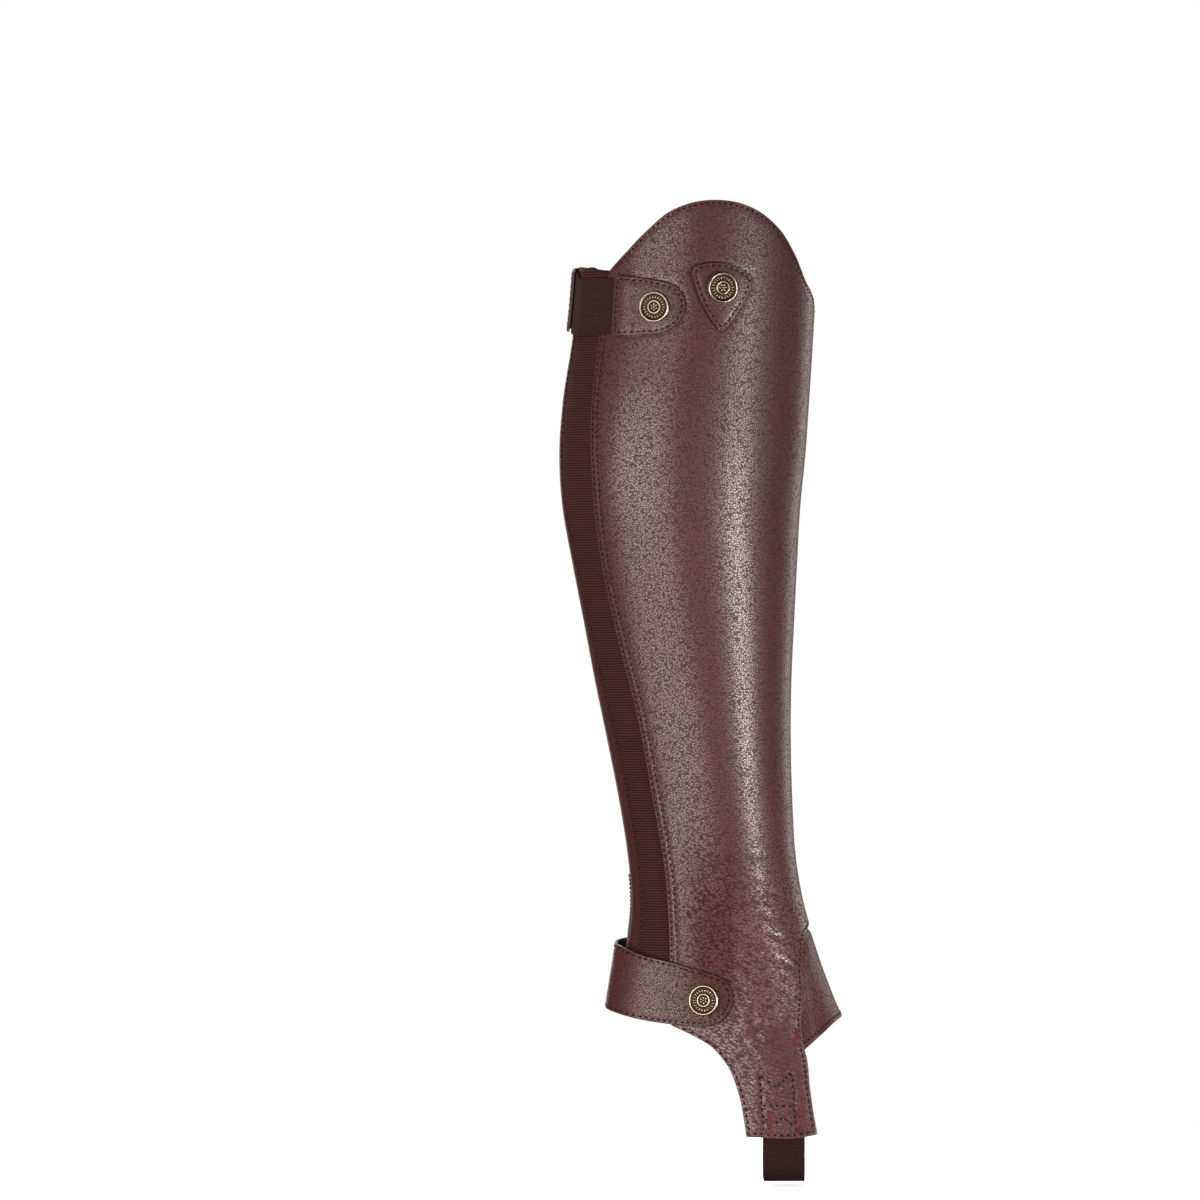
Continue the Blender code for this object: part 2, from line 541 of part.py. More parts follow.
def build_slider():
    """A plate over the chain with turned-down sides, and the bridge that carries the pull."""
    origin, out, down, across = back_frame(SLIDER_TOP)
    half, inner = SLIDER_HALF_WIDTH, SLIDER_HALF_WIDTH - SLIDER_FLANGE
    low = -(LEATHER - 0.1)
    channel = [(-half, low), (-inner, low), (-inner, 0.0), (inner, 0.0), (inner, low), (half, low),
               (half, SLIDER_PLATE_TOP - 0.5), (half - 0.6, SLIDER_PLATE_TOP),
               (0.6 - half, SLIDER_PLATE_TOP), (-half, SLIDER_PLATE_TOP - 0.5)]
    body = new_object("zip_slider", prism("zip_slider", channel, across, out, down, origin, 0.0,
                                          SLIDER_LENGTH), "zip_metal")
    sunk = SLIDER_PLATE_TOP - 0.6
    lower_top = BRIDGE_TOP - BRIDGE_LEG
    bridge = [(BRIDGE_START, sunk), (BRIDGE_START + BRIDGE_LEG, sunk),
              (BRIDGE_START + BRIDGE_LEG, lower_top), (BRIDGE_END - BRIDGE_LEG, lower_top),
              (BRIDGE_END - BRIDGE_LEG, sunk), (BRIDGE_END, sunk), (BRIDGE_END, BRIDGE_TOP - 0.8),
              (BRIDGE_END - 0.8, BRIDGE_TOP), (BRIDGE_START + 0.8, BRIDGE_TOP),
              (BRIDGE_START, BRIDGE_TOP - 0.8)]
    mesh = prism("slider_bridge", bridge, down, out, across, origin, -BRIDGE_HALF_WIDTH, BRIDGE_HALF_WIDTH)
    helper = bpy.data.objects.new("slider_bridge", mesh)
    bpy.context.collection.objects.link(helper)
    helper.hide_render = True
    helper.display_type = "WIRE"
    join = body.modifiers.new("bridge", "BOOLEAN")
    join.operation = "UNION"
    join.object = helper


def build_pull():
    """The pull: a flat tab whose bar runs under the bridge, leaning on the zip below it."""
    origin, out, down, across = back_frame(SLIDER_TOP)
    hinge = origin + out * HINGE_OUT + down * HINGE_DOWN
    lean = math.radians(PULL_LEAN_DEG)
    hang = down * math.cos(lean) - out * math.sin(lean)
    face = out * math.cos(lean) + down * math.sin(lean)
    top, end = -PULL_BAR / 2, PULL_LENGTH - PULL_BAR / 2
    half, corner = PULL_HALF_WIDTH, 1.5
    tab = [(-half, top + 0.4), (0.4 - half, top), (half - 0.4, top), (half, top + 0.4),
           (half, end - corner), (half - corner, end), (corner - half, end), (-half, end - corner)]
    hole_half = BRIDGE_HALF_WIDTH + 0.5
    hole_top = PULL_BAR / 2
    hole_end = hole_top + GAP + BRIDGE_LEG + 0.8
    window = [(-hole_half, hole_top), (hole_half, hole_top), (hole_half, hole_end), (-hole_half, hole_end)]
    mesh = prism("zip_pull", tab, across, hang, face, np.zeros(3), -PULL_THICKNESS / 2,
                 PULL_THICKNESS / 2, window)
    pull = new_object("zip_pull", mesh, "zip_metal")
    pull.location = Vector(hinge) * MM


def strap_heights(edge_at, direction, climb):
    """Height of a strap end that climbs over the elastic beside its sewn edge, then lies down."""
    def height(chart):
        along = (chart[:, 0] - edge_at(chart[:, 1])) * direction
        return GAP + STRAP + climb * (1 - smoothstep((along - STRAP_TUCK - 0.8) / 7.0))
    return height


def station_run(stations, edge, side):
    """The upper or lower edge of a strap across the back, from its stations."""
    return np.array([(side * FORM.half_girth(getattr(row, edge)) + row.u, getattr(row, edge))
                     for row in stations])


def build_top_strap():
    """The strap over the head of the zip: sewn base, elastic and the tab with its snap."""
    front = seen_run(STRAP_BASE_FRONT, INNER, 5.0, 1.5)
    start = TOP_STRAP_BACK[0]
    end_u = -1.0
    middle = TOP_STRAP_BACK[1]
    high = [(-FORM.half_girth(z) + u, z) for u, z in ((end_u, middle.top + 0.3), (start.u, start.top))]
    low = [(-FORM.half_girth(z) + u, z) for u, z in ((start.u, start.bottom), (end_u, middle.bottom - 0.3))]
    base = outline(curve(high + [front[0]], 5.0)[:-1], front, curve([front[-1]] + low, 5.0)[1:],
                   back_run(end_u, middle.bottom - 0.3, middle.top + 0.3, 5.0, INNER))
    lap = strap_heights(lambda z: np.array([-FORM.half_girth(level) + end_u for level in z]), 1,
                        ELASTIC + SEAM_GAP + 0.1)
    wave_start, wave_end, waves, wave_height = 15.0, 33.0, 3, 0.9

    def gathered(chart):
        u = chart[:, 0] + np.array([FORM.half_girth(z) for z in chart[:, 1]])
        across = np.clip((u - wave_start) / (wave_end - wave_start), 0, 1)
        return lap(chart) + wave_height * np.sin(across * waves * math.pi) ** 2
    wall("top_strap_base", base, gathered, STRAP, "brown_leather", 3.0)

    tab_front = seen_run(STRAP_TAB_FRONT, OUTER, 5.0, 1.5)
    tab_edge = (tab_front[-1], tab_front[0])
    tab = outline(tab_front, curve(tab_edge, 5.0))

    def seam_at(z):
        return np.interp(z, [tab_edge[0][1], tab_edge[1][1]], [tab_edge[0][0], tab_edge[1][0]])
    wall("top_strap_tab", tab, strap_heights(seam_at, -1, ELASTIC + SEAM_GAP), STRAP, "brown_leather", 6.0)

    low_end, high_end = tab_front[-1], tab_front[0]
    tuck_u = STRAP_TUCK - 1.0
    upper = [(FORM.half_girth(92.6) + tuck_u, 92.6)] + list(station_run(TOP_STRAP_BACK[1:], "top", OUTER))
    lower = [(FORM.half_girth(63.0) + tuck_u, 63.0)] + list(station_run(TOP_STRAP_BACK[1:], "bottom", OUTER))
    upper += [(high_end[0], high_end[1] - 1.2), (high_end[0] - STRAP_TUCK, high_end[1] - 1.6)]
    lower += [(low_end[0], low_end[1] + 1.6), (low_end[0] - STRAP_TUCK, low_end[1] + 2.0)]
    upper[0] = (upper[0][0], TOP_STRAP_BACK[1].top)
    wall("top_strap_elastic", outline(curve(upper, 5.0), curve(lower, 5.0)[::-1]), GAP + ELASTIC,
         ELASTIC, "dark_elastic", 6.0)


def build_badge():
    """The shield-shaped leather patch below the dome."""
    edge = outline(*(seen_run(run, OUTER, 5.0, 1.0) for run in (SHIELD_TOP, SHIELD_FRONT, SHIELD_BACK)))
    wall("badge_patch", edge, GAP + BADGE, BADGE, "brown_leather", 6.0)


def build_ankle_strap():
    """The strap that stands off round the heel and snaps on the outer side."""
    back_height, lies_flat = 5.6, GAP
    top = np.concatenate([station_run(ANKLE_STRAP_BACK, "top", OUTER),
                          [FORM.seen(spot, OUTER, 2.0) for spot in ANKLE_STRAP_TOP]])
    bottom = np.concatenate([[FORM.seen(spot, OUTER, 2.0) for spot in ANKLE_STRAP_BOTTOM],
                             station_run(ANKLE_STRAP_BACK, "bottom", OUTER)[::-1]])
    edge = outline(curve(top, 6.0), seen_run(ANKLE_STRAP_END, OUTER, 5.0, 2.0), curve(bottom, 6.0))

    def height(chart):
        u = chart[:, 0] - np.array([FORM.half_girth(z) for z in chart[:, 1]])
        stand_off = np.where(u > 0, 1 - smoothstep((u - 5.0) / 10.0), 1 - smoothstep((-u - 6.0) / 34.0))
        return lies_flat + STRAP + (back_height - lies_flat) * stand_off
    wall("ankle_strap", edge, height, STRAP, "brown_leather", 6.0)


def build_cap(name, spot, lift):
    """A snap cap: a turned disc with a raised rim, a groove and a low plain boss."""
    (arc, z) = FORM.seen(spot, OUTER, lift + 2.0)
    angle = FORM.angle(arc, z)
    base = FORM.place([(arc, z)], lift)[0]
    axis = Vector(FORM.normal(np.array(angle), np.array(z)))
    profile = ((0.0, 0.0), (7.0, 0.0), (7.9, 0.5), (CAP_RADIUS, 1.3), (7.7, 2.1), (7.0, 2.4),
               (6.4, 2.0), (3.2, 1.7), (2.4, 2.1), (0.0, 2.3))
    segments = 28
    turn = Vector((0, 0, 1)).rotation_difference(axis).to_matrix()
    rings, vertices = [], []
    for radius, height in profile:
        start = len(vertices)
        count = segments if radius else 1
        rings.append((start, count))
        for i in range(count):
            angle_i = math.tau * i / segments
            local = Vector((radius * math.cos(angle_i), radius * math.sin(angle_i), height))
            vertices.append(Vector(base) + turn @ local)
    faces = []
    for (a, count_a), (b, count_b) in zip(rings, rings[1:]):
        for i in range(segments):
            j = (i + 1) % segments
            if count_a == 1:
                faces.append((a, b + i, b + j))
            elif count_b == 1:
                faces.append((a + i, a + j, b))
            else:
                faces.append((a + i, a + j, b + j, b + i))
    new_object(name, closed_mesh(name, vertices, faces), "antique_brass")


def build_stirrup():
    """The elastic that runs down inside the outer tab, under the foot and up the inner one."""
    columns = np.linspace(STIRRUP_BACK, STIRRUP_FRONT, 4)
    outer_face = -(LEATHER + SEAM_GAP)
    bend = 12
    radius = STIRRUP_BEND_TOP - STIRRUP_BOTTOM

    def path(x, side, sunk):
        """Points of one face on one side, from its upper end down to the flat underside."""
        top = STIRRUP_TOP_OUTER if side == OUTER else STIRRUP_TOP_INNER
        straight = []
        for z in np.linspace(top, STIRRUP_BEND_TOP, 5):
            arc, _ = FORM.seen(Seen(x, z), side)
            spot = FORM.place([(arc, z)], outer_face - sunk)[0]
            straight.append((x, spot[1], z))
        side_y = straight[-1][1]
        reach = radius - sunk
        middle_y = side_y + side * reach
        turn = [(x, middle_y - side * reach * math.cos(t), STIRRUP_BEND_TOP - reach * math.sin(t))
                for t in np.linspace(0, math.pi / 2, bend // 2 + 1)[1:]]
        return straight + turn

    grid = []
    for sunk in (0.0, ELASTIC):
        grid.append([path(x, OUTER, sunk) + path(x, INNER, sunk)[::-1] for x in columns])
    grid = np.array(grid)
    _, across, along, _ = grid.shape
    vertices = grid.reshape(-1, 3)

    def index(layer, i, j):
        return (layer * across + i) * along + j
    faces = []
    for layer in (0, 1):
        for i in range(across - 1):
            for j in range(along - 1):
                faces.append((index(layer, i, j), index(layer, i + 1, j), index(layer, i + 1, j + 1),
                              index(layer, i, j + 1)))
    for j in range(along - 1):
        for i in (0, across - 1):
            faces.append((index(0, i, j), index(0, i, j + 1), index(1, i, j + 1), index(1, i, j)))
    for i in range(across - 1):
        for j in (0, along - 1):
            faces.append((index(0, i, j), index(0, i + 1, j), index(1, i + 1, j), index(1, i, j)))
    new_object("stirrup_elastic", closed_mesh("stirrup_elastic", vertices, faces), "dark_elastic")


def build():
    """Clears the scene and builds the half chap."""
    for obj in list(bpy.data.objects):
        bpy.data.objects.remove(obj)
    build_main_panel()
    build_lining()
    build_dome_facing()
    build_elastic_panel()
    build_gusset()
    build_zip()
    build_top_strap()
    build_badge()
    build_ankle_strap()
    build_stirrup()
    build_cap("snap_cap_top", TOP_CAP, GAP + STRAP + GAP)
    build_cap("snap_cap_badge", BADGE_CAP, GAP + BADGE + GAP)
    build_cap("snap_cap_ankle", ANKLE_CAP, GAP + STRAP + GAP)


build()
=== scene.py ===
"""Looks of a leather half chap for the right leg: pebbled leather, suede, elastics, sewing and snaps.

Every piece of cloth is a thin wall on one hollow form, the leg that the chap is cut for. A place on
the form is a chart point: the arc length round from the shin, above 0 on the outer side, and the
height. Lengths are in millimetres and become metres when a mesh is made.
+X points to the toe, -Y to the outer side of the leg and +Z up.
"""
import logging
import math
from dataclasses import dataclass, field
from enum import Enum, IntEnum
from typing import Callable, NamedTuple, Sequence, Union

import bpy
import numpy as np
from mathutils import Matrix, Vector, kdtree
from mathutils.geometry import delaunay_2d_cdt


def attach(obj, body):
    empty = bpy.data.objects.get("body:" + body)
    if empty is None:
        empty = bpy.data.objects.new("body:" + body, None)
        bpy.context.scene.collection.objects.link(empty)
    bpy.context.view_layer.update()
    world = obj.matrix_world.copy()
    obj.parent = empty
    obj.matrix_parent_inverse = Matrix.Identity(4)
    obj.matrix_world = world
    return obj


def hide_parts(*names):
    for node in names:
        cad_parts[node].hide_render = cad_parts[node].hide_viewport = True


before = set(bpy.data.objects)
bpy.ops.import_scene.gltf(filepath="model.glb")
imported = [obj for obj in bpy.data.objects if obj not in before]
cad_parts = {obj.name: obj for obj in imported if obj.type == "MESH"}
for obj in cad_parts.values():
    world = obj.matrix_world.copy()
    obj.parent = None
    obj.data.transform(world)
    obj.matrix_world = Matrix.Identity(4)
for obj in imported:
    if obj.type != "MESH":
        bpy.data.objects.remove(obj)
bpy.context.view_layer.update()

LOG = logging.getLogger("half_chap")
Array = np.ndarray
Height = Callable[[Array], Array]
MM = 0.001
BODY = "chap"

# Cloth thicknesses and gaps
LEATHER, LINING, ELASTIC, STRAP, GUSSET, BADGE, TAPE = 1.8, 1.0, 1.2, 1.6, 1.6, 1.4, 1.0
GAP, SEAM_GAP, ZIP_GAP = 0.3, 0.6, 0.8
ELASTIC_TUCK, GUSSET_TUCK, STRAP_TUCK, SEAM_RISE, FACING_WIDTH = 8.0, 6.0, 6.0, 6.0, 8.0
ZIP_OPEN_HALF, ZIP_TAPE_WIDTH, ZIP_TOP, ZIP_BOTTOM = 4.5, 12.0, 93.0, -286.0

# Sewing
STITCH_PITCH, STITCH_LENGTH, STITCH_RADIUS = 3.15, 2.1, 0.50

# Runs and outlines in the chart: the step of their points, the least gap and the longest edge
RUN_STEP, BACK_STEP, LEAST_GAP, LONGEST_EDGE = 1.5, 1.6, 0.3, 2.4
# How many points are measured at a time
CHUNK = 2000
# The least side of a cut that may be declared
LEAST_SIDE = 10.0


class Side(IntEnum):
    """The side of the leg: the sign of the arc length there."""

    OUTER = 1
    INNER = -1


class Held(Enum):
    """How a sheet of cloth is held."""

    STRETCHED = "stretched"
    LAID = "laid"
    GATHERED = "gathered"


class Section(NamedTuple):
    """A section of the leg form: its reach in x, its half width and how it narrows forwards."""

    z: float
    back: float
    front: float
    half_width: float
    taper: float


class Seen(NamedTuple):
    """A spot as it is seen from the side of the leg."""

    x: float
    z: float


class Station(NamedTuple):
    """Where a strap crosses the back: distance to the inner side, upper and lower edge."""

    u: float
    top: float
    bottom: float


class Crease(NamedTuple):
    """A soft trough seen from the side: its middle, length, direction in degrees, width, depth."""

    x: float
    z: float
    length: float
    turn: float
    width: float
    depth: float


class Tack(NamedTuple):
    """A dense upright block of stitches, seen from the side."""

    x: float
    z: float
    width: float
    height: float


def spots(*numbers: float) -> tuple[Seen, ...]:
    """Spots from their x and z, one after the other."""
    return tuple(Seen(*pair) for pair in zip(numbers[::2], numbers[1::2]))


LEG = tuple(Section(*row) for row in (
    (134.0, -53.0, 71.6, 57.0, 0.08),
    (94.0, -54.6, 70.4, 57.0, 0.08),
    (58.0, -58.0, 68.3, 57.0, 0.08),
    (26.0, -62.8, 66.2, 57.5, 0.08),
    (-2.0, -64.7, 64.3, 57.0, 0.07),
    (-30.0, -63.2, 61.6, 55.0, 0.05),
    (-58.0, -58.4, 59.9, 51.5, 0.02),
    (-90.0, -52.3, 58.2, 47.5, -0.02),
    (-121.0, -46.4, 56.9, 44.0, -0.05),
    (-152.0, -39.9, 56.6, 41.0, -0.08),
    (-184.0, -33.6, 57.3, 38.5, -0.11),
    (-215.0, -28.9, 59.3, 37.5, -0.14),
    (-236.0, -27.3, 63.0, 37.5, -0.16),
    (-257.0, -28.6, 69.0, 38.0, -0.18),
    (-278.0, -31.6, 76.3, 38.5, -0.20),
    (-296.0, -34.2, 84.0, 39.5, -0.20),
    (-330.0, -33.0, 112.0, 40.5, -0.10),
    (-372.0, -32.0, 124.0, 40.5, -0.05),
))

OUTER_SEAM = spots(-38.9, 93.2, -44.1, 58.3, -48.0, 26.0, -48.6, 2.6, -47.8, -15.8, -43.1, -58.8,
    -33.8, -101.3, -25.7, -133.3, -17.3, -176.4, -9.6, -222.1, -7.4, -257.2, -6.3, -301.5)
OUTER_HEM = spots(-6.3, -301.5, 4.7, -306.6, 13.1, -311.3, 21.5, -320.2, 27.0, -331.5, 30.6, -345.0,
    32.8, -359.6)
OUTER_TAB_END = spots(32.8, -359.6, 63.3, -359.6, 70.2, -358.0)
OUTER_TAB_FRONT = spots(70.2, -358.0, 68.0, -346.0, 66.2, -333.0, 64.6, -318.0, 62.6, -309.8)
OUTER_GUSSET_SEAM = spots(62.6, -309.8, 62.3, -290.0, 62.3, -268.0, 63.2, -256.0, 66.1, -247.5)
INNER_GUSSET_SEAM = spots(66.1, -247.5, 63.0, -254.0, 60.3, -264.0, 58.7, -277.0, 58.5, -290.0,
    60.0, -308.0)
INNER_TAB_FRONT = spots(60.0, -308.0, 63.4, -324.0, 65.2, -339.0, 66.4, -353.4)
INNER_TAB_END = spots(66.4, -353.4, 33.4, -353.4)
INNER_HEM = spots(33.4, -353.4, 32.0, -337.0, 27.8, -323.5, 20.5, -311.8, 12.0, -304.2, -4.3, -296.3,
    -19.0, -292.2, -30.5, -290.2)
INNER_TOP = spots(-52.5, 96.1, -39.9, 94.6, -20.5, 89.4, 5.2, 82.2, 27.6, 75.9, 49.7, 72.0, 70.3, 70.6)
DOME = spots(70.3, 70.6, 69.1, 76.7, 64.0, 89.2, 58.6, 101.9, 50.9, 114.5, 40.2, 123.9, 29.2, 128.6,
    17.3, 130.0, 5.3, 128.8, -7.4, 123.9, -18.9, 114.5, -31.0, 102.0, -38.9, 93.2)
ELASTIC_TOP = spots(-38.9, 92.6, -43.6, 92.9, -48.0, 95.4, -52.6, 94.0)
ELASTIC_HEM = spots(-33.2, -291.0, -22.6, -294.2, -12.1, -298.6, -6.3, -301.5)
GUSSET_HEM_OUTER = spots(62.6, -315.0, 71.9, -306.6, 80.3, -299.2, 84.0, -295.8)
GUSSET_HEM_INNER = spots(84.0, -295.8, 79.0, -299.4, 70.0, -306.0, 60.5, -312.6)
STRAP_BASE_FRONT = spots(-48.0, 95.2, -32.6, 93.6, -24.9, 89.6, -21.6, 82.0, -22.6, 74.2, -28.0, 65.8,
    -35.9, 61.6, -48.0, 63.4)
STRAP_TAB_FRONT = spots(-34.8, 90.6, -16.4, 88.4, -3.6, 84.4, 1.0, 76.4, -0.9, 68.4, -8.4, 61.6,
    -21.7, 59.6, -36.8, 58.8)
SHIELD_TOP = spots(5.6, 95.2, 13.9, 97.2, 23.0, 96.6, 34.8, 91.6)
SHIELD_FRONT = spots(36.3, 88.6, 31.6, 77.0, 25.2, 66.9, 20.6, 61.9)
SHIELD_BACK = spots(18.2, 62.2, 14.4, 67.4, 8.6, 78.4, 4.3, 91.4)
ANKLE_STRAP_TOP = spots(-21.0, -264.7, -5.8, -268.6, 11.6, -273.5)
ANKLE_STRAP_END = spots(11.6, -273.5, 21.4, -277.6, 25.7, -285.4, 23.8, -293.8, 17.6, -300.0, 9.0, -301.8)
ANKLE_STRAP_BOTTOM = spots(9.0, -301.8, -8.4, -300.6, -21.0, -298.7)
TOP_STRAP_BACK = (Station(10.0, 95.6, 64.2), Station(0.0, 93.0, 62.0), Station(-10.0, 90.2, 60.2))
ANKLE_STRAP_BACK = (Station(17.0, -254.6, -289.0), Station(8.0, -257.0, -291.0),
                    Station(0.0, -259.2, -293.0), Station(-9.0, -260.8, -294.8))

# Where the top strap's base ends, measured from the middle of the back towards the inner side
BASE_END = -1.0

# Sewing on the two tabs, seen from their own sides
OUTER_TAB_ROWS = (
    spots(42.0, -357.0, 40.6, -342.0, 39.3, -327.1),
    spots(39.3, -327.1, 48.8, -333.7, 55.9, -325.5),
    spots(55.9, -325.5, 57.5, -342.0, 58.8, -357.0),
    spots(40.7, -343.1, 57.5, -343.1),
    spots(47.8, -352.8, 52.0, -349.1, 57.6, -353.6),
)
INNER_TAB_ROWS = (
    spots(42.6, -351.0, 41.6, -336.0, 40.7, -321.3),
    spots(40.7, -321.3, 49.6, -328.3, 58.0, -320.3),
    spots(58.0, -320.3, 58.6, -336.0, 59.2, -351.0),
    spots(41.6, -336.3, 58.6, -336.3),
)
OUTER_TACKS = (
    Tack(45.0, -351.8, 4.0, 10.6), Tack(60.8, -351.1, 4.2, 12.0), Tack(59.6, -307.6, 3.0, 10.0))
INNER_TACKS = (
    Tack(44.4, -344.9, 4.2, 11.0), Tack(59.4, -344.9, 3.6, 11.0), Tack(57.2, -301.0, 3.4, 12.5))

# Creases of the ankle on the outer side; the inner side has the same ones a little moved
ANKLE_CREASES = tuple(Crease(*row) for row in (
    (31.0, -236.0, 13.0, -14.0, 2.0, 0.20), (41.5, -243.0, 12.0, -20.0, 2.0, 0.26),
    (28.5, -250.0, 13.0, -22.0, 2.2, 0.24), (48.0, -254.0, 10.0, -28.0, 1.9, 0.28),
    (36.0, -257.5, 14.0, -24.0, 2.3, 0.34), (24.5, -262.0, 11.0, -26.0, 2.0, 0.24),
    (44.5, -265.0, 12.0, -32.0, 2.1, 0.34), (53.8, -268.5, 8.0, -38.0, 1.8, 0.26),
    (32.5, -270.0, 13.0, -30.0, 2.3, 0.36), (40.5, -277.0, 11.0, -38.0, 2.1, 0.34),
    (49.8, -281.0, 10.0, -44.0, 2.0, 0.30), (30.5, -282.0, 8.0, 24.0, 1.9, 0.26),
    (31.0, -289.0, 10.0, 34.0, 2.1, 0.36), (36.5, -295.0, 12.0, 40.0, 2.3, 0.40),
    (28.8, -298.5, 9.0, 30.0, 2.0, 0.30), (42.5, -291.5, 10.0, 50.0, 2.0, 0.30),
    (45.7, -300.5, 11.0, 56.0, 2.1, 0.32), (38.3, -305.5, 10.0, 46.0, 2.0, 0.30),
    (31.6, -309.5, 9.0, 34.0, 1.9, 0.28), (25.5, -306.0, 8.0, 20.0, 1.8, 0.24),
    (30.5, -318.0, 8.0, 50.0, 1.8, 0.26), (36.0, -315.5, 9.0, 58.0, 1.9, 0.24),
    (34.0, -328.0, 8.0, 64.0, 1.7, 0.22), (52.5, -296.0, 9.0, 66.0, 1.9, 0.26),
    (20.0, -243.0, 10.0, -16.0, 2.1, 0.16), (16.0, -256.0, 9.0, -20.0, 2.0, 0.16),
    (37.0, -224.0, 12.0, -12.0, 2.2, 0.16), (26.0, -229.0, 10.0, -10.0, 2.0, 0.14),
    (46.5, -232.0, 9.0, -20.0, 1.9, 0.18), (40.0, -212.0, 11.0, -8.0, 2.2, 0.12),
))


def hermite(at: Array, knots: Array, values: Array) -> Array:
    """Smooth curve through a table.

    Args:
        at: where the curve is wanted.
        knots: the table's places, rising.
        values: the table's values.

    Returns:
        The curve's values, with slopes taken from each knot's neighbours.
    """
    slopes = np.gradient(values, knots)
    at = np.clip(at, knots[0], knots[-1])
    index = np.clip(np.searchsorted(knots, at) - 1, 0, len(knots) - 2)
    span = knots[index + 1] - knots[index]
    t = (at - knots[index]) / span
    return ((2 * t**3 - 3 * t**2 + 1) * values[index] + (t**3 - 2 * t**2 + t) * span * slopes[index]
            + (3 * t**2 - 2 * t**3) * values[index + 1] + (t**3 - t**2) * span * slopes[index + 1])


def smoothstep(value: Array) -> Array:
    """Runs from 0 to 1 with level ends as value runs from 0 to 1."""
    t = np.clip(value, 0.0, 1.0)
    return t * t * (3 - 2 * t)


class LegForm:
    """The hollow form, with a chart on it."""

    LEVEL_STEP = 3.0
    ANGLE_STEP = 1.5

    def __init__(self, sections: Sequence[Section]) -> None:
        """Works out the arc lengths round the form from its sections."""
        rows = sorted(sections)
        self.levels = np.array([row.z for row in rows])
        self.columns = np.array([[row.back, row.front, row.half_width, row.taper] for row in rows]).T
        self.angles = np.radians(np.arange(-225.0, 225.5, self.ANGLE_STEP))
        self.heights = np.arange(self.levels[0], self.levels[-1] + 1, self.LEVEL_STEP)
        ring = self.skin(self.angles[None, :] + 0 * self.heights[:, None],
                         self.heights[:, None] + 0 * self.angles[None, :])
        steps = np.linalg.norm(np.diff(ring[:, :, :2], axis=1), axis=2)
        arcs = np.concatenate([np.zeros((len(self.heights), 1)), np.cumsum(steps, axis=1)], axis=1)
        self.arcs = arcs - arcs[:, [len(self.angles) // 2]]

    def section(self, z: Array) -> tuple[Array, Array, Array, Array]:
        """Centre, half depth, half width and taper of the section at each level."""
        back, front, half_width, taper = (hermite(z, self.levels, column) for column in self.columns)
        return (back + front) / 2, (front - back) / 2, half_width, taper

    def skin(self, angle: Array, z: Array) -> Array:
        """Points of the form at angles round from the shin."""
        centre, depth, width, taper = self.section(z)
        return np.stack([centre + depth * np.cos(angle),
                         -width * np.sin(angle) * (1 - taper * np.cos(angle)), z], axis=-1)

    def normal(self, angle: Array, z: Array) -> Array:
        """Unit vectors out of the form."""
        tiny = 1e-3
        round_it = self.skin(angle + tiny, z) - self.skin(angle - tiny, z)
        up_it = self.skin(angle, z + tiny) - self.skin(angle, z - tiny)
        out = np.cross(up_it, round_it)
        return out / np.linalg.norm(out, axis=-1, keepdims=True)

    def _rows(self, z: Array) -> tuple[Array, Array]:
        """The table's row below each level, and the share of the way to the next."""
        row = np.clip((z - self.heights[0]) / self.LEVEL_STEP, 0, len(self.heights) - 1.001)
        return row.astype(int), row - row.astype(int)

    def arc(self, angle: Array, z: Array) -> Array:
        """Arc lengths round from the shin."""
        angle, z = np.broadcast_arrays(np.asarray(angle, float), np.asarray(z, float))
        low, share = self._rows(z)
        at = np.clip((angle - self.angles[0]) / math.radians(self.ANGLE_STEP), 0, len(self.angles) - 1.001)
        k, part = at.astype(int), at - at.astype(int)
        lower = self.arcs[low, k] * (1 - part) + self.arcs[low, k + 1] * part
        upper = self.arcs[low + 1, k] * (1 - part) + self.arcs[low + 1, k + 1] * part
        return lower * (1 - share) + upper * share

    def angle(self, arc: Array, z: Array) -> Array:
        """Angles round from the shin of arc lengths, by halving."""
        low, share = self._rows(z)

        def blend(k: Array) -> Array:
            """Arc lengths at the table's angles k."""
            return self.arcs[low, k] * (1 - share) + self.arcs[low + 1, k] * share
        first, last = np.zeros(arc.shape, int), np.full(arc.shape, len(self.angles) - 1)
        for _ in range(10):
            middle = (first + last) // 2
            beyond = blend(middle) <= arc
            first, last = np.where(beyond, middle, first), np.where(beyond, last, middle)
        first = np.minimum(first, len(self.angles) - 2)
        start, end = blend(first), blend(first + 1)
        return self.angles[first] + (arc - start) / (end - start) * math.radians(self.ANGLE_STEP)

    def place(self, chart: Array, height: Union[Array, float]) -> Array:
        """World points, in millimetres, of chart points lifted off the form by a height."""
        chart = np.asarray(chart, float)
        angle = self.angle(chart[:, 0], chart[:, 1])
        lift = np.broadcast_to(height, angle.shape)[:, None]
        return self.skin(angle, chart[:, 1]) + self.normal(angle, chart[:, 1]) * lift

    def out(self, chart: Array) -> Array:
        """Unit vectors out of the form at chart points."""
        return self.normal(self.angle(chart[:, 0], chart[:, 1]), chart[:, 1])

    def seen(self, spot: Seen, side: Side, height: float = 0.0) -> Array:
        """Chart point of a spot seen from a side, which lies at a height off the form."""
        z = np.array(spot.z)
        centre, depth, _, _ = self.section(z)
        angle = math.acos(float(np.clip((spot.x - centre) / depth, -1, 1)))
        for _ in range(3 if height else 0):
            lift = height * self.normal(np.array(side * angle), z)[0]
            angle = math.acos(float(np.clip((spot.x - lift - centre) / depth, -1, 1)))
        return np.array([float(self.arc(side * angle, z)), spot.z])

    def half_girth(self, z: Array) -> Array:
        """Arc length from the shin to the middle of the back."""
        return self.arc(math.pi, z)


FORM = LegForm(LEG)


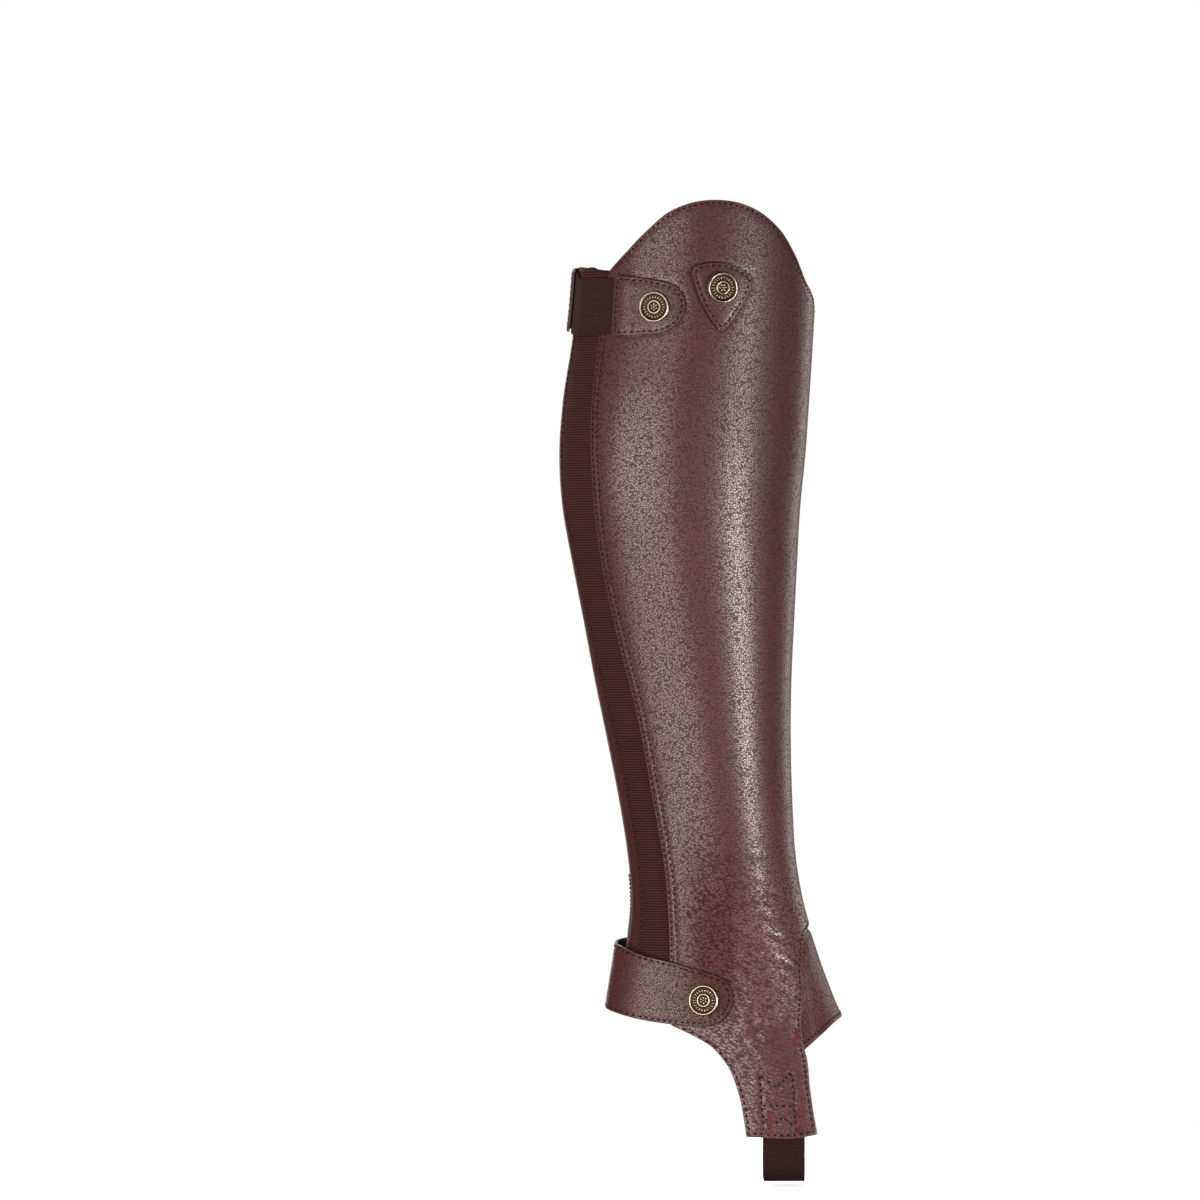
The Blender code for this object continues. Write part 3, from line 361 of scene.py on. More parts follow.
def lengths(run: Array) -> Array:
    """Lengths along a run, up to each of its points."""
    return np.concatenate([[0.0], np.cumsum(np.linalg.norm(np.diff(run, axis=0), axis=1))])


def curve(points: Sequence, step: float = RUN_STEP) -> Array:
    """A smooth run through chart points, with a point about every step along it."""
    points = np.asarray(points, float)
    length = lengths(points)
    at = np.linspace(0, length[-1], max(1, round(length[-1] / step)) + 1)
    if len(points) == 2:
        return np.stack([np.interp(at, length, points[:, i]) for i in (0, 1)], axis=1)
    return np.stack([hermite(at, length, points[:, i]) for i in (0, 1)], axis=1)


def seen_run(spots: Sequence[Seen], side: Side, height: float = 0.0, step: float = RUN_STEP) -> Array:
    """A smooth run through spots given as they are seen from one side."""
    return curve([FORM.seen(spot, side, height) for spot in spots], step)


def back_run(u: float, top: float, bottom: float, side: Side = Side.OUTER) -> Array:
    """A run along the back at a distance u from its middle, u above 0 being on the inner side."""
    levels = np.linspace(top, bottom, max(2, round(abs(top - bottom) / BACK_STEP) + 1))
    return np.stack([side * FORM.half_girth(levels) + u, levels], axis=1)


def outline(*runs: Array) -> Array:
    """Joins runs into one closed outline without shared points or long straight edges."""
    points: list[Array] = []
    for point in np.concatenate([np.asarray(run, float) for run in runs]):
        if not points or np.hypot(*(point - points[-1])) > LEAST_GAP:
            points.append(point)
    if np.hypot(*(points[0] - points[-1])) <= LEAST_GAP:
        points.pop()
    divided: list[Array] = []
    for start, end in zip(points, points[1:] + points[:1]):
        pieces = max(1, math.ceil(np.hypot(*(end - start)) / LONGEST_EDGE))
        divided += [start + (end - start) * i / pieces for i in range(pieces)]
    return np.array(divided)


def looped(run: Array) -> Array:
    """A run that ends at its first point."""
    return np.concatenate([run, run[:1]])


def even(height: float) -> Height:
    """The same height everywhere."""
    return lambda chart: np.full(len(chart), height)


def moved_in(run: Array, distance: float) -> Array:
    """A run moved sideways, to the right of its direction of travel."""
    ahead = np.gradient(run, axis=0)
    ahead /= np.linalg.norm(ahead, axis=1, keepdims=True)
    return run + np.stack([ahead[:, 1], -ahead[:, 0]], axis=1) * distance


def inside(points: Array, polygon: Array) -> Array:
    """Which points lie inside a closed outline."""
    x0, y0 = polygon[:, 0], polygon[:, 1]
    x1, y1 = np.roll(x0, -1), np.roll(y0, -1)
    found = []
    for chunk in np.array_split(points, max(1, len(points) // CHUNK)):
        x, y = chunk[:, 0][:, None], chunk[:, 1][:, None]
        with np.errstate(divide="ignore", invalid="ignore"):
            left = x < (x1 - x0) * (y - y0) / (y1 - y0) + x0
        found.append((((y0 > y) != (y1 > y)) & left).sum(axis=1) % 2 == 1)
    return np.concatenate(found)


def distance_to(points: Array, run: Array, closed: bool = True) -> Array:
    """Distance from each point to the nearest edge of a run."""
    start, end = (run, np.roll(run, -1, axis=0)) if closed else (run[:-1], run[1:])
    edge = end - start
    square = np.maximum((edge * edge).sum(-1), 1e-12)
    found = []
    for chunk in np.array_split(points, max(1, len(points) // CHUNK)):
        dx, dy = (chunk[:, None, i] - start[:, i] for i in (0, 1))
        along = np.clip((dx * edge[:, 0] + dy * edge[:, 1]) / square, 0, 1)
        found.append(np.hypot(dx - along * edge[:, 0], dy - along * edge[:, 1]).min(axis=1))
    return np.concatenate(found)


def signed_area(edge: Array) -> float:
    """Area of an outline, above 0 if it runs against the clock."""
    x, y = edge[:, 0], edge[:, 1]
    return float((x * np.roll(y, -1) - np.roll(x, -1) * y).sum()) / 2


def inset(edge: Array, distance: float) -> Array:
    """A closed run at an even distance inside a closed outline."""
    ahead = np.roll(edge, -1, axis=0) - np.roll(edge, 1, axis=0)
    ahead /= np.linalg.norm(ahead, axis=1, keepdims=True)
    turn = math.copysign(1.0, signed_area(edge))
    run = edge + np.stack([-ahead[:, 1], ahead[:, 0]], axis=1) * distance * turn
    return run[(distance_to(run, edge) > 0.96 * distance) & inside(run, edge)]


def within(triangles: Array, rim: int) -> Array:
    """Leaves out the triangles outside an outline.

    Args:
        triangles: triangles that fill the hull of all points.
        rim: how many of the first points make the closed outline.

    Returns:
        The triangles that can't be reached from the hull without crossing the outline.
    """
    fence = {frozenset((i, (i + 1) % rim)) for i in range(rim)}
    sides = [[frozenset(pair) for pair in ((a, b), (b, c), (c, a))] for a, b, c in triangles.tolist()]
    sharing: dict[frozenset, list[int]] = {}
    for t, trio in enumerate(sides):
        for pair in trio:
            sharing.setdefault(pair, []).append(t)
    reached = [owners[0] for pair, owners in sharing.items() if len(owners) == 1 and pair not in fence]
    out: set[int] = set()
    while reached:
        t = reached.pop()
        if t not in out:
            out.add(t)
            reached += [other for pair in sides[t] if pair not in fence for other in sharing[pair]]
    kept = np.ones(len(triangles), bool)
    kept[list(out)] = False
    return triangles[kept]


def flat_size(edge: Array) -> tuple[tuple[float, float], float]:
    """Width and length of a flat outline, and its area, in metres."""
    width, length = (float(side) for side in np.ptp(edge, axis=0))
    return (max(width, LEAST_SIDE) * MM, max(length, LEAST_SIDE) * MM), abs(signed_area(edge)) * MM * MM


def linked(name: str, data: bpy.types.ID) -> bpy.types.Object:
    """An object of a mesh, a light or a camera, in the scene."""
    obj = bpy.data.objects.new(name, data)
    bpy.context.collection.objects.link(obj)
    return obj


def make_object(name: str, vertices: Array, triangles: Array, values: dict[str, Array],
                sharp: float = 40.0) -> bpy.types.Object:
    """Makes a closed smooth mesh with named values at its points.

    Args:
        name: the object's name.
        vertices: points in millimetres.
        triangles: three vertex indices each, turned either way but all alike.
        values: numbers or vectors at the vertices, by name.
        sharp: the angle in degrees from which an edge stays sharp.

    Returns:
        The linked object.
    """
    a, b, c = (vertices[triangles[:, i]] for i in range(3))
    if (a * np.cross(b, c)).sum() < 0:
        triangles = triangles[:, ::-1]
    mesh = bpy.data.meshes.new(name)
    mesh.from_pydata((vertices * MM).tolist(), [], triangles.tolist())
    for key, value in values.items():
        kind = "FLOAT" if value.ndim == 1 else "FLOAT_VECTOR"
        layer = mesh.attributes.new(key, kind, "POINT")
        layer.data.foreach_set("value" if value.ndim == 1 else "vector", value.astype(np.float32).ravel())
    mesh.shade_smooth()
    mesh.set_sharp_from_angle(angle=math.radians(sharp))
    return linked(name, mesh)


@dataclass
class Cloth:
    """A thin closed wall of cloth on the leg form, inside an outline in the chart.

    Attributes:
        name: the piece's name.
        edge: its closed outline.
        height: the height of its outer face at chart points.
        thickness: its thickness.
        spacing: how far apart the points of its middle lie.
        fine_below: the level below which they lie at fine_spacing.
        lines: runs of stitches, along which the cloth dips.
        pressed: edges of other cloth that has pressed into it, along which it dips too.
        rounding: the radius of its outer edges.
        dip: how far it dips along the stitches.
        dip_width: how far from them the dip has nearly ended.
    """

    name: str
    edge: Array
    height: Height
    thickness: float
    spacing: float = 2.6
    fine_below: float = -1e9
    fine_spacing: float = 1.7
    lines: list[Array] = field(default_factory=list)
    pressed: list[Array] = field(default_factory=list)
    rounding: float = 0.5
    dip: float = 0.25
    dip_width: float = 0.8

    # Added to the distance to stitches, so that the painted shade along them is lighter than along pressed lines
    SEWN_PALE = 0.85
    # Distance of the extra points beside a line, the ratio of rows in the grid, and the farthest
    # distances to an edge and to stitches that are kept
    BESIDE, ROW_RATIO, FAR_EDGE, FAR_STITCH = 0.95, 0.866, 20.0, 9.0

    def _grid(self, spacing: float) -> Array:
        """Points over the outline's extent, each row half a step from the next."""
        low, high = self.edge.min(axis=0), self.edge.max(axis=0)
        points = []
        for i, z in enumerate(np.arange(low[1] + spacing / 2, high[1], spacing * self.ROW_RATIO)):
            row = np.arange(low[0] + spacing / 2 * (1 + i % 2), high[0], spacing)
            points.append(np.stack([row, 0 * row + z], axis=1))
        return np.concatenate(points)

    def _points(self) -> tuple[Array, Array]:
        """Points inside the outline, and by how much the edge's rounding lowers each."""
        radius = self.rounding
        # Each group's points, how clear of earlier ones they have to be, and how far they are lowered
        groups = [(inset(self.edge, 0.3 * radius), 0.08, 0.286 * radius), (inset(self.edge, radius), 0.25, 0.0)]
        for line in self.lines + self.pressed:
            groups.append((line, 0.4, 0.0))
            groups += [(moved_in(line, beside), 0.5, 0.0) for beside in (self.BESIDE, -self.BESIDE)]
        coarse = self._grid(self.spacing)
        groups.append((coarse[coarse[:, 1] > self.fine_below], 0.5 * self.spacing, 0.0))
        if self.fine_below > self.edge[:, 1].min():
            fine = self._grid(self.fine_spacing)
            groups.append((fine[fine[:, 1] <= self.fine_below], 0.5 * self.fine_spacing, 0.0))
        kept, lowered = [self.edge], [np.full(len(self.edge), radius)]
        for points, clear, drop in groups:
            points = points[np.sort(np.unique(points.round(2), axis=0, return_index=True)[1])]
            points = points[inside(points, self.edge)]
            tree = kdtree.KDTree(sum(map(len, kept)))
            for i, point in enumerate(np.concatenate(kept)):
                tree.insert((*point, 0.0), i)
            tree.balance()
            free = np.array([tree.find((*point, 0.0))[2] > clear for point in points], bool)
            kept.append(points[free])
            lowered.append(np.full(int(free.sum()), drop))
        return np.concatenate(kept), np.concatenate(lowered)

    def surface(self, chart: Array) -> Array:
        """Height of the outer face with its stitched dips."""
        height = self.height(chart)
        for line in self.lines + self.pressed:
            near = distance_to(chart, line, closed=False)
            height = height - self.dip * np.exp(-(near / self.dip_width) ** 2)
        return height

    def build(self) -> bpy.types.Object:
        """Makes the wall.

        Returns:
            The object, with its chart and its distances to the edge and to stitches as values.
        """
        chart, lowered = self._points()
        count, rim = len(chart), len(self.edge)
        points, _, faces, _, _, _ = delaunay_2d_cdt(
            [Vector(p) for p in chart], [(i, (i + 1) % rim) for i in range(rim)], [], 0, 1e-6, False)
        if len(points) != count:
            raise ValueError(f"{self.name}: an outline crosses itself, {len(points)} points for {count}")
        triangles = within(np.array(faces), rim)
        top = self.surface(chart)
        first = np.arange(rim)
        second = (first + 1) % rim
        if signed_area(self.edge) < 0:
            first, second = second, first
        walls = np.concatenate([np.stack([second, first, first + count], axis=1),
                                np.stack([second, first + count, second + count], axis=1)])
        vertices = np.concatenate([FORM.place(chart, top - lowered), FORM.place(chart, top - self.thickness)])
        to_edge = np.minimum(distance_to(chart, self.edge), self.FAR_EDGE)
        stitch = np.full(count, self.FAR_STITCH)
        for line in self.lines:
            stitch = np.minimum(stitch, distance_to(chart, line, closed=False) + self.SEWN_PALE)
        for line in self.pressed:
            stitch = np.minimum(stitch, distance_to(chart, line, closed=False))
        values = {"chart": np.tile(np.column_stack([chart, to_edge]), (2, 1)),
                  "stitch": np.tile(stitch, 2),
                  "outer": np.concatenate([np.ones(count), np.zeros(count)])}
        return make_object(self.name, vertices, np.concatenate([triangles, triangles[:, ::-1] + count, walls]),
                           values)


class Sewing:
    """Collects stitches on cloth and makes them as one piece."""

    # A stitch's rings: place along it, girth and rise, as shares of its half length and radius
    RINGS = ((-0.66, 0.80, -0.12), (0.0, 1.0, 0.10), (0.66, 0.80, -0.12))
    AROUND = 6
    # Irregularities of a row: of the stitches' places, and the mean and spread of their lean
    PLACE_SPREAD, LEAN, LEAN_SPREAD = 0.05, 0.10, 0.04
    # A tack's stitches: pitch, slant, radius and the range of their lengths
    TACK_PITCH, TACK_SLANT, TACK_RADIUS, TACK_REACH = 0.62, 0.25, 0.34, (0.9, 1.05)

    def __init__(self, name: str, seed: int) -> None:
        """Starts an empty piece; the seed is for its small irregularities."""
        self.name = name
        self.random = np.random.default_rng(seed)
        self.starts: list[Array] = []
        self.ends: list[Array] = []
        self.outs: list[Array] = []
        self.radii: list[Array] = []

    def add(self, starts: Array, ends: Array, outs: Array, radius: float) -> None:
        """Adds stitches from their ends and the directions out of the cloth, in millimetres."""
        self.starts.append(starts)
        self.ends.append(ends)
        self.outs.append(outs)
        self.radii.append(np.full(len(starts), radius))

    def row(self, line: Array, height: Height, pitch: float = STITCH_PITCH, length: float = STITCH_LENGTH,
            radius: float = STITCH_RADIUS, lift: float = 0.10) -> None:
        """Adds a row of stitches.

        Args:
            line: the run that they follow in the chart.
            height: the height of the cloth there.
            pitch: how far apart they start.
            length: the length of one.
            radius: the thread's radius.
            lift: how far their middles stand over the cloth.
        """
        along = lengths(line)
        count = max(1, int(along[-1] // pitch))
        middle = (np.arange(count) + 0.5) * along[-1] / count
        middle = middle + self.random.normal(0, self.PLACE_SPREAD, count)

        def at(where: Array) -> Array:
            """Chart points at lengths along the line."""
            return np.stack([np.interp(where, along, line[:, i]) for i in (0, 1)], axis=1)
        start, end, centre = at(middle - length / 2), at(middle + length / 2), at(middle)
        side = np.stack([end[:, 1] - start[:, 1], start[:, 0] - end[:, 0]], axis=1) / length
        lean = self.random.normal(self.LEAN, self.LEAN_SPREAD, (count, 1))
        base = height(centre) + lift
        self.add(FORM.place(start - side * lean, base), FORM.place(end + side * lean, base),
                 FORM.out(centre), radius)

    def tack(self, tack: Tack, side: Side, height: float) -> None:
        """Adds a dense block of level stitches.

        Args:
            tack: the block, as it is seen from the side.
            side: the side that it is seen from.
            height: its height over the form.
        """
        count = int(tack.height / self.TACK_PITCH)
        for i in range(count):
            z = tack.z + (i + 0.5 - count / 2) * self.TACK_PITCH
            reach = tack.width / 2 * float(self.random.uniform(*self.TACK_REACH))
            slant = self.TACK_SLANT * (-1) ** i
            ends = np.array([FORM.seen(Seen(tack.x - reach, z - slant), side),
                             FORM.seen(Seen(tack.x + reach, z + slant), side)])
            pair = FORM.place(ends, height)
            self.add(pair[:1], pair[1:], FORM.out(ends[:1]), self.TACK_RADIUS)

    def build(self) -> bpy.types.Object:
        """Makes the piece."""
        start, end, out = (np.concatenate(part) for part in (self.starts, self.ends, self.outs))
        radius = np.concatenate(self.radii)
        middle, half = (start + end) / 2, (end - start) / 2
        length = np.linalg.norm(half, axis=1, keepdims=True)
        ahead = half / length
        side = np.cross(out, ahead)
        side /= np.linalg.norm(side, axis=1, keepdims=True)
        up = np.cross(ahead, side)
        turn = np.arange(self.AROUND) * math.tau / self.AROUND
        parts = [middle - half - up * radius[:, None] * 0.7]
        for t, swell, rise in self.RINGS:
            for angle in turn:
                parts.append(middle + half * t + side * (radius * swell * math.cos(angle))[:, None]
                             + up * (radius * (swell * 0.8 * math.sin(angle) + rise))[:, None])
        parts.append(middle + half - up * radius[:, None] * 0.7)
        vertices = np.stack(parts, axis=1)
        per = vertices.shape[1]
        faces = []
        n = self.AROUND
        for i in range(n):
            j = (i + 1) % n
            faces.append((0, 1 + j, 1 + i))
            faces.append((per - 1, per - 1 - n + i, per - 1 - n + j))
            for k in range(len(self.RINGS) - 1):
                a, b = 1 + k * n, 1 + (k + 1) * n
                faces += [(a + i, a + j, b + j), (a + i, b + j, b + i)]
        triangles = (np.array(faces)[None] + (np.arange(len(vertices)) * per)[:, None, None]).reshape(-1, 3)
        shade = np.repeat(self.random.random(len(vertices)), per)
        return make_object(self.name, vertices.reshape(-1, 3), triangles, {"shade": shade}, 80.0)


def operator(operation: str, number_first: bool = False) -> Callable[["Term", "Number"], "Term"]:
    """A method of Term for one of Python's operators."""
    def method(term: "Term", other: "Number") -> "Term":
        """The result of the operation."""
        return term.math(operation, *((other, term) if number_first else (term, other)))
    return method


class Term:
    """A value that changes over a surface, for use in Python expressions."""

    def __init__(self, graph: "Graph", socket: bpy.types.NodeSocket) -> None:
        """Wraps a socket of a graph."""
        self.graph, self.socket = graph, socket

    def math(self, operation: str, *values: "Number") -> "Term":
        """Adds one Math node."""
        return self.graph.node("ShaderNodeMath", {"operation": operation}, dict(enumerate(values))).out(0)

    __add__, __radd__ = operator("ADD"), operator("ADD", True)
    __sub__, __rsub__ = operator("SUBTRACT"), operator("SUBTRACT", True)
    __mul__, __rmul__ = operator("MULTIPLY"), operator("MULTIPLY", True)
    __truediv__ = operator("DIVIDE")

    def sine(self) -> "Term":
        """The sine of the value."""
        return self.math("SINE", self)

    def step(self, low: float, high: float) -> "Term":
        """Runs smoothly from 0 at low to 1 at high."""
        return self.graph.node("ShaderNodeMapRange", {"interpolation_type": "SMOOTHSTEP"},
                               {"Value": self, "From Min": low, "From Max": high}).out(0)


Number = Union[Term, float]


class Made:
    """A node that has been made, for picking its outputs."""

    def __init__(self, graph: "Graph", node: bpy.types.Node) -> None:
        """Wraps a node of a graph."""
        self.graph, self.node = graph, node

    def out(self, key: Union[int, str]) -> Term:
        """One of the node's outputs."""
        return Term(self.graph, self.node.outputs[key])


class Graph:
    """The nodes of one material."""

    def __init__(self, name: str) -> None:
        """Starts a material with its Principled shader."""
        self.material = bpy.data.materials.new(name)
        self.material.use_nodes = True
        self.tree = self.material.node_tree
        self.shader = self.tree.nodes["Principled BSDF"]

    def node(self, kind: str, settings: dict[str, object], inputs: dict) -> Made:
        """Adds a node.

        Args:
            kind: the node's type.
            settings: its own settings, set first.
            inputs: values or terms for its sockets, by name or number.

        Returns:
            The node.
        """
        node = self.tree.nodes.new(kind)
        for key, value in settings.items():
            setattr(node, key, value)
        for key, value in inputs.items():
            if isinstance(value, Term):
                self.tree.links.new(value.socket, node.inputs[key])
            else:
                node.inputs[key].default_value = value
        return Made(self, node)

    def set(self, **inputs: object) -> None:
        """Sets or links sockets of the Principled shader, with _ for a space in their names."""
        for key, value in inputs.items():
            socket = self.shader.inputs[key.replace("_", " ")]
            if isinstance(value, Term):
                self.tree.links.new(value.socket, socket)
            else:
                socket.default_value = value

    def mix(self, factor: Number, first: object, second: object) -> Term:
        """Mixes two colours."""
        return self.node("ShaderNodeMix", {"data_type": "RGBA"}, {0: factor, 6: first, 7: second}).out(2)

    def value(self, name: str) -> Term:
        """A number stored on the mesh."""
        return self.node("ShaderNodeAttribute", {"attribute_name": name}, {}).out("Fac")

    def vector(self, name: str) -> Term:
        """A vector stored on the mesh."""
        return self.node("ShaderNodeAttribute", {"attribute_name": name}, {}).out("Vector")

    def place(self) -> Term:
        """Where a point is, in metres in the object's own frame."""
        return self.node("ShaderNodeTexCoord", {}, {}).out("Object")

    def parts(self, vector: Term) -> tuple[Term, Term, Term]:
        """The three numbers of a vector."""
        made = self.node("ShaderNodeSeparateXYZ", {}, {0: vector})
        return made.out(0), made.out(1), made.out(2)

    def join(self, x: Number, y: Number, z: Number = 0.0) -> Term:
        """A vector of three numbers."""
        return self.node("ShaderNodeCombineXYZ", {}, {0: x, 1: y, 2: z}).out(0)

    def noise(self, vector: Term, scale: float, detail: float = 2.0, rough: float = 0.5) -> Term:
        """Soft noise about 0.5."""
        return self.node("ShaderNodeTexNoise", {}, {"Vector": vector, "Scale": scale, "Detail": detail,
                                                    "Roughness": rough}).out("Fac")

    def cells(self, vector: Term, scale: float, feature: str = "F1") -> Made:
        """Irregular cells."""
        return self.node("ShaderNodeTexVoronoi", {"feature": feature}, {"Vector": vector, "Scale": scale,
                                                                         "Randomness": 0.8})

    def bump(self, height: Term, depth_mm: float) -> None:
        """Bends the shader's normal by a height from 0 to 1 that stands for depth_mm."""
        made = self.node("ShaderNodeBump", {}, {"Height": height, "Distance": depth_mm * MM, "Strength": 1.0})
        self.tree.links.new(made.out("Normal").socket, self.shader.inputs["Normal"])


def rgb(red: float, green: float, blue: float) -> tuple[float, float, float, float]:
    """A linear colour with full alpha."""
    return red, green, blue, 1.0


@dataclass(frozen=True)
class Leather:
    """Pebbled full-grain leather: small pebbles, longer and coarser ones at the ankle."""

    name: str = "pebbled_leather"
    colour: tuple = rgb(0.074, 0.0178, 0.0150)
    # Painted light: a paler tone that the front of the ankle is mixed towards
    wear_and_painted_light: tuple = rgb(0.122, 0.050, 0.045)
    # Painted shade: a darker tone that the bend of the ankle is mixed towards
    painted_bend_shade: tuple = rgb(0.050, 0.0120, 0.0100)
    # Painted shade: the dark tone put into the grain's hollows, along stitches and along the edges of pieces pressed
    # into the leather
    crease: tuple = rgb(0.026, 0.006, 0.005)
    flesh: tuple = rgb(0.060, 0.026, 0.020)
    edge: tuple = rgb(0.110, 0.050, 0.044)
    pebble: float = 1.12
    depth: float = 0.10
    roughness: float = 0.36
    shine: float = 0.34
    gloss: float = 0.80
    gloss_roughness: float = 0.31
    gloss_index: float = 1.6
    coarse_from: float = -150.0
    coarse_to: float = -255.0

    # Where the ankle's shading starts and ends, in metres: levels, then reaches to the toe
    ANKLE_TOP, ANKLE_FOOT = (-0.160, -0.250), (-0.288, -0.308)
    BEND_BACK, BEND_FRONT, FRONT = (-0.008, 0.012), (0.023, 0.032), (0.026, 0.035)
    # Cosine and sine of the slant of the coarse grain
    SLANT = (0.94, 0.34)

    def material(self) -> bpy.types.Material:
        """Makes the material."""
        g = Graph(self.name)
        chart = g.vector("chart")
        arc, level, to_edge = g.parts(chart)
        warp = g.noise(g.join(arc, level), 0.55, 2.0) - 0.5
        warp_more = g.noise(g.join(level, arc, 7.0), 0.5, 2.0) - 0.5
        fine = g.join(arc / (self.pebble * 1.25) + warp * 0.8, level / (self.pebble * 0.92) + warp_more * 0.8)
        side = arc.step(-1.0, 1.0) * 2.0 - 1.0
        slant = arc * self.SLANT[0] + level * side * self.SLANT[1]
        across = level * self.SLANT[0] - arc * side * self.SLANT[1]
        long = g.join(slant / (self.pebble * 2.1) + warp * 1.1, across / (self.pebble * 1.05) + warp_more * 1.1)
        patches = g.noise(g.join(arc, level), 0.045, 2.0)
        ahead, _, up = g.parts(g.place())
        coarse = ((level.step(self.coarse_from, self.coarse_to) + (patches - 0.5) * 0.5).step(0.15, 0.95)
                  * (ahead.step(-0.008, 0.014) * 0.85 + 0.15))
        small, scale = self.grains(g, fine), self.grains(g, long)
        top = small[0] * (1.0 - coarse) + scale[0] * coarse
        chance = small[1] * (1.0 - coarse) + scale[1] * coarse
        fibre = g.noise(g.join(arc, level, 3.0), 3.2, 3.0)
        height = top * (0.80 - coarse * 0.1) + fibre * 0.18
        mottled = g.mix(patches.step(0.3, 0.7) * 0.5, self.colour,
                        rgb(self.colour[0] * 0.86, self.colour[1] * 0.82, self.colour[2] * 0.82))
        hollow = 1.0 - top.step(0.10, 0.75)
        ankle = up.step(*self.ANKLE_TOP) * (1.0 - up.step(*self.ANKLE_FOOT))
        # bend: where the ankle bends; painted shade darkens it there, and it is rougher and less glossy
        bend = ahead.step(*self.BEND_BACK) * (1.0 - ahead.step(*self.BEND_FRONT)) * ankle
        # front: the ankle's front, made paler there as painted light, and less glossy
        front = ahead.step(*self.FRONT) * ankle
        bare = g.mix(bend * 0.75, g.mix(front * 0.8, mottled, self.wear_and_painted_light), self.painted_bend_shade)
        # Painted shade in the grain's hollows
        grained = g.mix(hollow, bare, self.crease)
        # Painted shade along stitches and along the edges of the pieces that lie on the leather
        stitched = g.mix(g.value("stitch").step(1.3, 0.4) * 0.75, grained, self.crease)
        # Cut edges: lighter on the leather body; dark on the strap pieces, patch and gusset, partly as painted shade
        edged = g.mix(to_edge.step(0.62, 0.2) * 0.75, stitched, self.edge)
        outer = g.value("outer").step(0.1, 0.9)
        bright = (top.step(0.08, 0.85) * (0.92 + chance * 0.25) + (fibre - 0.5) * 0.3).step(-0.1, 1.3)
        plain = (1.0 - coarse) * 0.06
        bright = bright * (1.0 - plain) + plain * 0.62
        g.set(Base_Color=g.mix(outer, self.flesh, edged),
              Roughness=self.roughness + hollow * 0.25 + (patches - 0.5) * 0.10 + bend * 0.4,
              Specular_IOR_Level=self.shine, Coat_Roughness=self.gloss_roughness, Coat_IOR=self.gloss_index,
              Coat_Weight=bright * outer * to_edge.step(0.1, 0.6) * (self.gloss + (patches - 0.5) * 0.3)
              * (1.0 - bend * 0.9) * (1.0 - front * 0.45))
        g.bump(height, self.depth)
        return g.material

    def grains(self, g: Graph, place: Term) -> tuple[Term, Term]:
        """Rounded grains: how high a place in them stands, from 0 to 1, and a chance value for its grain."""
        seams = g.cells(place, 1.0, "DISTANCE_TO_EDGE").out("Distance")
        middle = g.cells(place, 1.0)
        chance = g.parts(middle.out("Color"))[0]
        return seams.step(0.0, 0.25) * 0.6 + (1.0 - middle.out("Distance")) * 0.4, chance


@dataclass(frozen=True)
class Suede:
    """Suede with a short brushed nap."""

    name: str = "suede_lining"
    colour: tuple = rgb(0.088, 0.027, 0.017)
    brushed: tuple = rgb(0.048, 0.013, 0.009)

    def material(self) -> bpy.types.Material:
        """Makes the material."""
        g = Graph(self.name)
        place = g.place()
        nap = g.noise(place, 900.0, 3.0, 0.7)
        clouds = g.noise(place, 45.0, 3.0)
        strokes = g.noise(g.node("ShaderNodeMapping", {}, {"Vector": place, "Scale": (1.0, 1.0, 0.35)}).out(0),
                          260.0, 3.0, 0.65)
        shade = (nap * 0.4 + clouds * 0.35 + strokes * 0.45).step(0.42, 0.78)
        g.set(Base_Color=g.mix(shade, self.brushed, self.colour), Roughness=0.95,
              Specular_IOR_Level=0.15, Sheen_Weight=0.35, Sheen_Roughness=0.4)
        g.bump(nap + strokes, 0.35)
        return g.material


class Weave(Enum):
    """How an elastic or tape is woven."""

    RIBS = "ribs"
    PLAIN = "plain"
    TWILL = "twill"


@dataclass(frozen=True)
class Woven:
    """Elastic or tape woven of thick threads."""

    name: str
    colour: tuple
    # Painted shade: the dark tone given to the low places between the threads
    gap: tuple
    weave: Weave
    pitch: float = 1.15
    thread: float = 0.9
    depth: float = 0.3

    def material(self) -> bpy.types.Material:
        """Makes the material."""
        g = Graph(self.name)
        arc, level, _ = g.parts(g.vector("chart"))
        wobble = (g.noise(g.join(arc, level), 0.25, 2.0) - 0.5) * 1.6
        rows = (level + wobble * 0.25) * (math.tau / self.pitch)
        columns = (arc + wobble * 0.2) * (math.tau / self.thread)
        if self.weave is Weave.RIBS:
            body = rows.sine() * 0.5 + 0.5
            cross = columns.sine() * 0.5 + 0.5
            height = body * 0.8 + cross * body * 0.25
        elif self.weave is Weave.PLAIN:
            height = (rows.sine() * columns.sine()) * 0.5 + 0.5
        else:
            height = (rows + columns).sine() * 0.35 + (rows.sine() * 0.5 + 0.5) * 0.3 + 0.35
        fuzz = g.noise(g.join(arc, level, 2.0), 2.2, 3.0, 0.7)
        bands = g.noise(g.join(arc * 0.05, level * 1.4), 1.0, 2.0)
        # Lower places in the weave are darker, as painted shade; fuzz and bands add random tone
        shade = (height * 0.7 + fuzz * 0.45 + (bands - 0.5) * 0.5).step(0.15, 1.0)
        g.set(Base_Color=g.mix(shade, self.gap, self.colour), Roughness=0.9, Specular_IOR_Level=0.12)
        g.bump(height + fuzz * 0.3, self.depth)
        return g.material


@dataclass(frozen=True)
class Thread:
    """Sewing thread."""

    name: str
    colour: tuple
    dark: tuple

    def material(self) -> bpy.types.Material:
        """Makes the material."""
        g = Graph(self.name)
        twist = g.noise(g.place(), 2600.0, 1.0)
        g.set(Base_Color=g.mix(g.value("shade") * 0.6 + twist * 0.4, self.dark, self.colour), Roughness=0.6,
              Specular_IOR_Level=0.2)
        g.bump(twist, 0.08)
        return g.material


